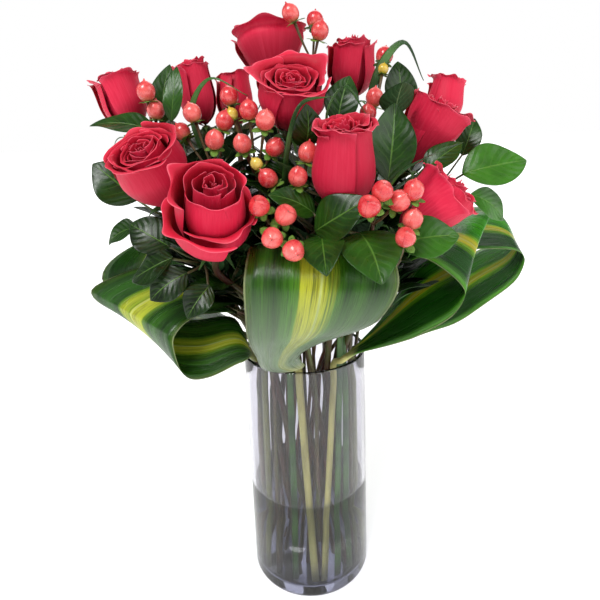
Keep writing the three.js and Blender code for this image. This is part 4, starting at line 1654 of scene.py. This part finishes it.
BRANCHES = (
    LeafBranch(1, 280, ((-2, -50, 258), (4, -64, 302), (16, -82, 317)), (
        Leaf((10, -82, 324), (-19, -87, 338), 22, (0, -0.7, 0.7)),
        Leaf((9, -92, 315), (41, -104, 336), 30, (-0.4, -0.8, 0.5), 0.4),
        Leaf((36, -94, 314), (44, -130, 291), 38, (0, -0.6, 0.8), 0.6),
        Leaf((13, -94, 313), (14, -126, 296), 27, (-0.2, -0.4, 0.9), 0.5),
        Leaf((58, -96, 306), (98, -92, 309), 30, (0.1, -0.7, 0.7), 0.8)), foot=279, low=48),
    LeafBranch(2, 352, ((57, 8, 255), (82, 14, 298), (106, 0, 326)), (
        Leaf((121, -22, 340), (170, -18, 348), 40, (0, -0.75, 0.65), 1.0),
        Leaf((125, -30, 326), (153, -22, 304), 25, (0.2, -0.8, 0.5), 0.9),
        Leaf((128, 0, 352), (140, 10, 380), 20, (-0.3, -0.9, 0.3), 0.5)), foot=354),
    LeafBranch(3, 233, ((-38, -44, 250), (-67, -54, 288)), (
        Leaf((-88, -62, 302), (-117, -52, 317), 28, (-0.2, -0.7, 0.7), 0.18),
        Leaf((-84, -72, 297), (-114, -68, 281), 30, (-0.2, -0.6, 0.7), 0.18),
        Leaf((-74, -78, 288), (-98, -84, 272), 26, (0, -0.8, 0.6), 0.18),
        Leaf((-58, -88, 282), (-72, -98, 264), 20, (0.2, -0.8, 0.6), 0.18)), foot=231),
    LeafBranch(4, 200, ((-50, -2, 260), (-75, -12, 330), (-86, -12, 366)), (
        Leaf((-96, -38, 378), (-143, -36, 384), 24, (0, -0.6, 0.8), 0.5),
        Leaf((-89, -24, 385), (-84, -14, 424), 15, (0, -1, 0.1), 0.6),
        Leaf((-100, -6, 384), (-93, 4, 428), 20, (0.3, -1, 0.1), 0.5)), foot=202, filler=90),
    LeafBranch(5, 190, ((-60, -14, 275), (-94, -26, 314)), (
        Leaf((-115, -36, 331), (-145, -33, 358), 34, (-0.1, -0.9, 0.4), 0.4),
        Leaf((-120, -28, 310), (-146, -18, 296), 22, (-0.2, -0.6, 0.8), 0.4)), foot=191),
    LeafBranch(6, 328, ((41, -28, 262), (50, -46, 315)), (
        Leaf((60, -58, 340), (67, -44, 392), 33, (0.1, -1, 0.2), 0.4),
        Leaf((90, -34, 345), (118, -30, 363), 22, (-0.3, -0.7, 0.6), 0.5)), foot=326),
    LeafBranch(7, 30, ((50, 10, 300), (73, 6, 365)), (
        Leaf((80, 4, 388), (80, 12, 425), 28, (0.2, -1, 0.2), 0.4),
        Leaf((62, 16, 350), (86, 40, 372), 26, (0.2, 0.2, 1), 0.4)), foot=28),
    LeafBranch(8, 338, ((16, -36, 290), (18, -46, 348)), (
        Leaf((28, -46, 378), (38, -36, 411), 24, (0, -1, 0.3), 0.4),
        Leaf((5, -60, 364), (7, -72, 392), 22, (0.2, -1, -0.2), 0.2)), ring=Ring.INNER, filler=70),
    LeafBranch(9, 90, ((4, 56, 290), (2, 76, 340)), (
        Leaf((6, 86, 352), (22, 112, 384), 36, (0.1, 0.7, 0.6)),
        Leaf((-4, 84, 346), (-28, 118, 352), 34, (-0.2, 0.5, 0.8)),
        Leaf((4, 84, 330), (22, 120, 318), 34, (0.2, 0.7, 0.7))), foot=92),
    LeafBranch(10, 142, ((-56, 44, 288), (-84, 62, 335)), (
        Leaf((-90, 66, 345), (-124, 84, 362), 34, (-0.4, 0.5, 0.8)),
        Leaf((-84, 70, 330), (-104, 104, 322), 32, (-0.3, 0.7, 0.7)),
        Leaf((-90, 60, 352), (-112, 52, 390), 26, (-0.8, 0, 0.6))), foot=144),
)

# ------------------------------------------------------------------ lily grass


@dataclass
class GrassBlade:
    """One blade of lily grass that rises, bows over and points down again."""

    number: int
    rim: float
    wide: float
    way: tuple[Point, ...]
    foot: float | None = None
    ring: Ring = Ring.OUTER
    twist: float = 50.0

    THICK = 0.32
    TAPER_FROM = 0.72

    def build(self) -> None:
        """Makes the blade and dresses it."""
        points = in_vase(self.rim, self.foot, self.ring) + [Vector(p) for p in self.way]
        centres = spline(points, 8)
        out = Vector(self.way[2]).to_2d().to_3d().normalized()
        side = Vector((-out.y, out.x, 0))
        last = len(centres) - 1
        halves = []
        for i in range(last + 1):
            t = i / last
            narrow = mix(1, 0.06, clamp((t - self.TAPER_FROM) / (1 - self.TAPER_FROM)))
            way = (centres[min(i + 1, last)] - centres[max(i - 1, 0)]).normalized()
            square = (side - way * side.dot(way)).normalized()
            turn = math.radians(self.twist) * smooth(0.3, 0.75, t)
            square = square * math.cos(turn) + way.cross(square) * math.sin(turn)
            halves.append(square * (self.wide / 2 * narrow))
        blade = strap_patch(centres, halves, lambda half: self.THICK, -0.25, 0, 12, plain=True)
        skin = solids(f"grass_blade_{self.number:02d}", [blade])
        dress(skin, [GRASS_BLADE], f"grass_{self.number:02d}")


GRASS = (
    GrassBlade(1, 234, 5, ((-44, -14, 300), (-72, -20, 372), (-72, -27, 397), (-58, -31, 413),
                           (-32, -42, 400)), ring=Ring.INNER),
    GrassBlade(2, 12, 8, ((50, -2, 330), (62, -2, 415), (82, 0, 437), (100, 12, 410)), 10),
    GrassBlade(3, 254, 5, ((-10, -50, 300), (-6, -73, 364), (4, -73, 392), (24, -66, 396)), 252),
    GrassBlade(4, 319, 5, ((27, -40, 300), (28, -50, 345), (20, -65, 386), (32, -63, 402),
                           (45, -66, 384)), 314),
    GrassBlade(5, 311, 6, ((30, -38, 240), (46, -58, 292), (60, -88, 346), (82, -82, 358),
                           (110, -56, 364)), 298),
)

# ------------------------------------------------------------------ vase and water


def arc(
    across: float, up: float, radius: float, first: float, last: float, steps: int
) -> list[tuple[float, float]]:
    """Points on a round edge of a profile.

    Args:
        across: its centre's distance from the axis, mm.
        up: its centre's height, mm.
        radius: mm.
        first: degrees at which it starts.
        last: degrees at which it ends.
        steps: how many stretches.
    Returns:
        The (radius, height) points, both ends included.
    """
    turns = [math.radians(mix(first, last, k / steps)) for k in range(steps + 1)]
    return [(across + radius * math.cos(a), up + radius * math.sin(a)) for a in turns]


@dataclass
class Vase:
    """The straight cylinder vase and the water in it, both turned from a profile.

    The water reaches bite mm into the glass, so that no film of air shows between them.
    """

    radius: float = VASE_RADIUS
    height: float = VASE_HEIGHT
    wall: float = 3.0
    floor: float = 8.0
    foot_round: float = 6.0
    lip_round: float = 1.5
    heel_round: float = 7.0
    bite: float = 0.15
    level: float = 82.0
    sides: int = 128
    rings: int = 12

    def spun(self, name: str, profile: Sequence[tuple[float, float]]) -> bpy.types.Object:
        """Spins a profile, (radius, height) from axis to axis, into a solid."""
        return solids(name, [turned(Vector(), Z_AXIS, profile, self.sides)])

    def wall_steps(self, radius: float, low: float, high: float) -> list[tuple[float, float]]:
        """Even steps up or down a straight wall, without its ends."""
        steps = range(1, self.rings)
        return [(radius, mix(low, high, k / self.rings)) for k in steps]

    def build(self) -> None:
        """Makes the glass and the water."""
        R, inner, wet = self.radius, self.radius - self.wall, self.radius - self.wall + self.bite
        foot, lip, heel = self.foot_round, self.lip_round, self.heel_round
        rim, bed = self.height - lip, self.floor - self.bite
        glass = self.spun("vase_glass", [
            (0, 0.6), (R - 16, 0.4), (R - 10, 0.05), *arc(R - foot, foot, foot, -90, 0, 9),
            *self.wall_steps(R, foot, rim), *arc(R - lip, rim, lip, 0, 180, 10),
            *self.wall_steps(inner, rim, self.floor + heel),
            *arc(inner - heel, self.floor + heel, heel, 0, -90, 9),
            (R - 22, self.floor), (0, self.floor - 0.6)])
        dress(glass, [SMOKED_GLASS], "vase")
        meniscus = [
            (wet - back, self.level + rise)
            for back, rise in ((0, 1.6), (0.5, 1.0), (1.2, 0.4), (2.6, 0))
        ]
        water = self.spun("water_body", [
            (0, bed - 0.6), (R - 22, bed), *arc(wet - heel, bed + heel, heel, -90, 0, 9),
            *meniscus, (0, self.level)])
        dress(water, [WATER_CLEAR], "water")


# ------------------------------------------------------------------ room and camera


@dataclass
class Studio:
    """Pale floor, soft lights and the camera.

    pitch and roll are the camera's lean down and to the side in degrees. room is the light that
    falls on everything, wall and window what gloss mirrors. LAMPS are the suns: name, where from,
    power and softness in degrees.
    """

    eye: Point = tuple(FRONT_EYE)
    pitch: float = 11.63
    roll: float = -2.12
    lens: float = 30.6
    shift: float = -0.1083
    room: float = 0.5
    wall: float = 0.14
    window: float = 2.2

    PAPER_WIDTH = 30.0
    SENSOR = 36.0
    LAMPS = (
        ("key", (-0.75, -1.2, 1.5), 2.3, 24.0),
        ("right_window", (1.3, -0.8, 0.9), 0.9, 40.0),
        ("back", (0.3, 1.5, 1.2), 0.9, 50.0),
    )

    def build(self) -> None:
        """Makes all of it."""
        self.floor()
        self.lights()
        self.camera()

    def floor(self) -> None:
        """A wide flat sheet of paper."""
        deselect()
        bpy.ops.mesh.primitive_plane_add(size=self.PAPER_WIDTH)
        sheet = bpy.context.object
        sheet.name = "floor"
        sheet.data.materials.append(PAPER.material())

    def lights(self) -> None:
        """An even white room with a tall window on each side, a broad key and a weak back light."""
        scene = bpy.context.scene
        scene.world = bpy.data.worlds.new("white_room")
        scene.world.use_nodes = True
        scene.world.node_tree.nodes.clear()
        add = partial(add_node, scene.world.node_tree)
        seen = add(Kind.LARGER, add(Kind.CAMERA_RAY), add(Kind.TRANSMISSION_RAY))
        sideways = add(Kind.UNSIGNED, add(Kind.ACROSS, add(Kind.SKY_WAY)))
        windows = add(Kind.RAMP, sideways, stops=((0.93, 0.0), (0.965, 1.0)))
        shine = add(Kind.TIMES_PLUS, windows, self.window, self.wall)
        room, mirrored, sweep = (add(Kind.SKY, WHITE, glow) for glow in (self.room, shine, 1.0))
        lit = add(Kind.EITHER, add(Kind.GLOSSY_RAY), room, mirrored)
        add(Kind.WORLD, add(Kind.EITHER, seen, lit, sweep))
        for name, spot, power, soft in self.LAMPS:
            data = bpy.data.lights.new(name, "SUN")
            data.energy, data.angle = power, math.radians(soft)
            lamp = bpy.data.objects.new(name, data)
            scene.collection.objects.link(lamp)
            lamp.location = spot
            lamp.rotation_mode = "QUATERNION"
            lamp.rotation_quaternion = (-Vector(spot)).to_track_quat("-Z", "Y")
        scene.view_settings.view_transform = "Standard"

    def camera(self) -> None:
        """A level eye a little above the flowers, looking slightly down."""
        tilt, lean = math.radians(self.pitch), math.radians(self.roll)
        ahead = Vector((0, math.cos(tilt), -math.sin(tilt)))
        right = Vector((1, 0, 0))
        up = right.cross(ahead)
        x = right * math.cos(lean) + up * math.sin(lean)
        y = up * math.cos(lean) - right * math.sin(lean)
        data = bpy.data.cameras.new("camera")
        data.lens, data.sensor_width, data.shift_y = self.lens, self.SENSOR, self.shift
        data.clip_start, data.clip_end = 0.01, 100.0
        cam = bpy.data.objects.new("camera", data)
        bpy.context.scene.collection.objects.link(cam)
        place = Matrix((x, y, -ahead)).transposed().to_4x4()
        place.translation = Vector(self.eye) * MM
        cam.matrix_world = place
        bpy.context.scene.camera = cam


# ------------------------------------------------------------------ main


def covers(point: Vector, target: Vector, radius: float) -> bool:
    """True where a point is in front of a flower or a berry, seen from the front of the bunch.

    Args:
        point: mm.
        target: the middle of the flower or the berry.
        radius: its radius, mm.
    Returns:
        Whether the point hides a part of it.
    """
    way = target - FRONT_EYE
    share = (point - FRONT_EYE).dot(way) / way.length_squared
    return share < 1 and (point - FRONT_EYE - way * share).length < radius * share


@dataclass(frozen=True)
class Thicket:
    """The room in mm that the small leaves may fill: an upright oval drum.

    x, y, wide and deep are the drum's centre and half widths, and top its upper end. Below collar
    the leaves stay in a core round the axis, behind front, and above mouth. The front leaf loop
    keeps a box free, loop_half to each side of loop_x, before loop_y and under loop_top. The gaps
    are how near a flower or a berry, and the covers how near the line of sight to it, a leaf may
    come: shares of the flower's size, and mm for a berry.
    """

    x: float = -4.0
    y: float = -4.0
    wide: float = 128.0
    deep: float = 98.0
    top: float = 405.0
    collar: float = 246.0
    mouth: float = 210.0
    front: float = -16.0
    core: float = 46.0
    loop_x: float = 3.0
    loop_half: float = 54.0
    loop_y: float = -58.0
    loop_top: float = 302.0
    rose_gap: float = 0.54
    rose_cover: float = 0.5
    berry_gap: float = 10.0
    berry_cover: float = 8.0

    def too_close(self, point: Vector) -> bool:
        """True where a small leaf would cover or cut a flower or a berry, or leave the room.

        Args:
            point: mm.
        Returns:
            Whether a small leaf has to keep away from it.
        """
        for rose in ROSES:
            middle = Vector(rose.centre)
            if (point - middle).length < self.rose_gap * max(rose.across, rose.tall) + 1:
                return True
            if covers(point, middle, self.rose_cover * rose.tall):
                return True
        for berry in (Vector(spot) for spray in SPRAYS for spot in spray.berries):
            if (point - berry).length < self.berry_gap or covers(point, berry, self.berry_cover):
                return True
        x, y, z = point
        if abs(x - self.loop_x) < self.loop_half and y < self.loop_y and z < self.loop_top:
            return True
        if z < self.collar and (z < self.mouth or y < self.front or math.hypot(x, y) > self.core):
            return True
        out = math.hypot((x - self.x) / self.wide, (y - self.y) / self.deep)
        return out > 1 or z > self.top


def main() -> None:
    """Builds every piece in order."""
    for piece in (Studio(), Vase(), *LOOPS, *SPRAYS):
        piece.build()
    for branch in BRANCHES:
        branch.build(Thicket().too_close)
    for piece in (*GRASS, *ROSES):
        piece.build()


if __name__ == "__main__":
    main()
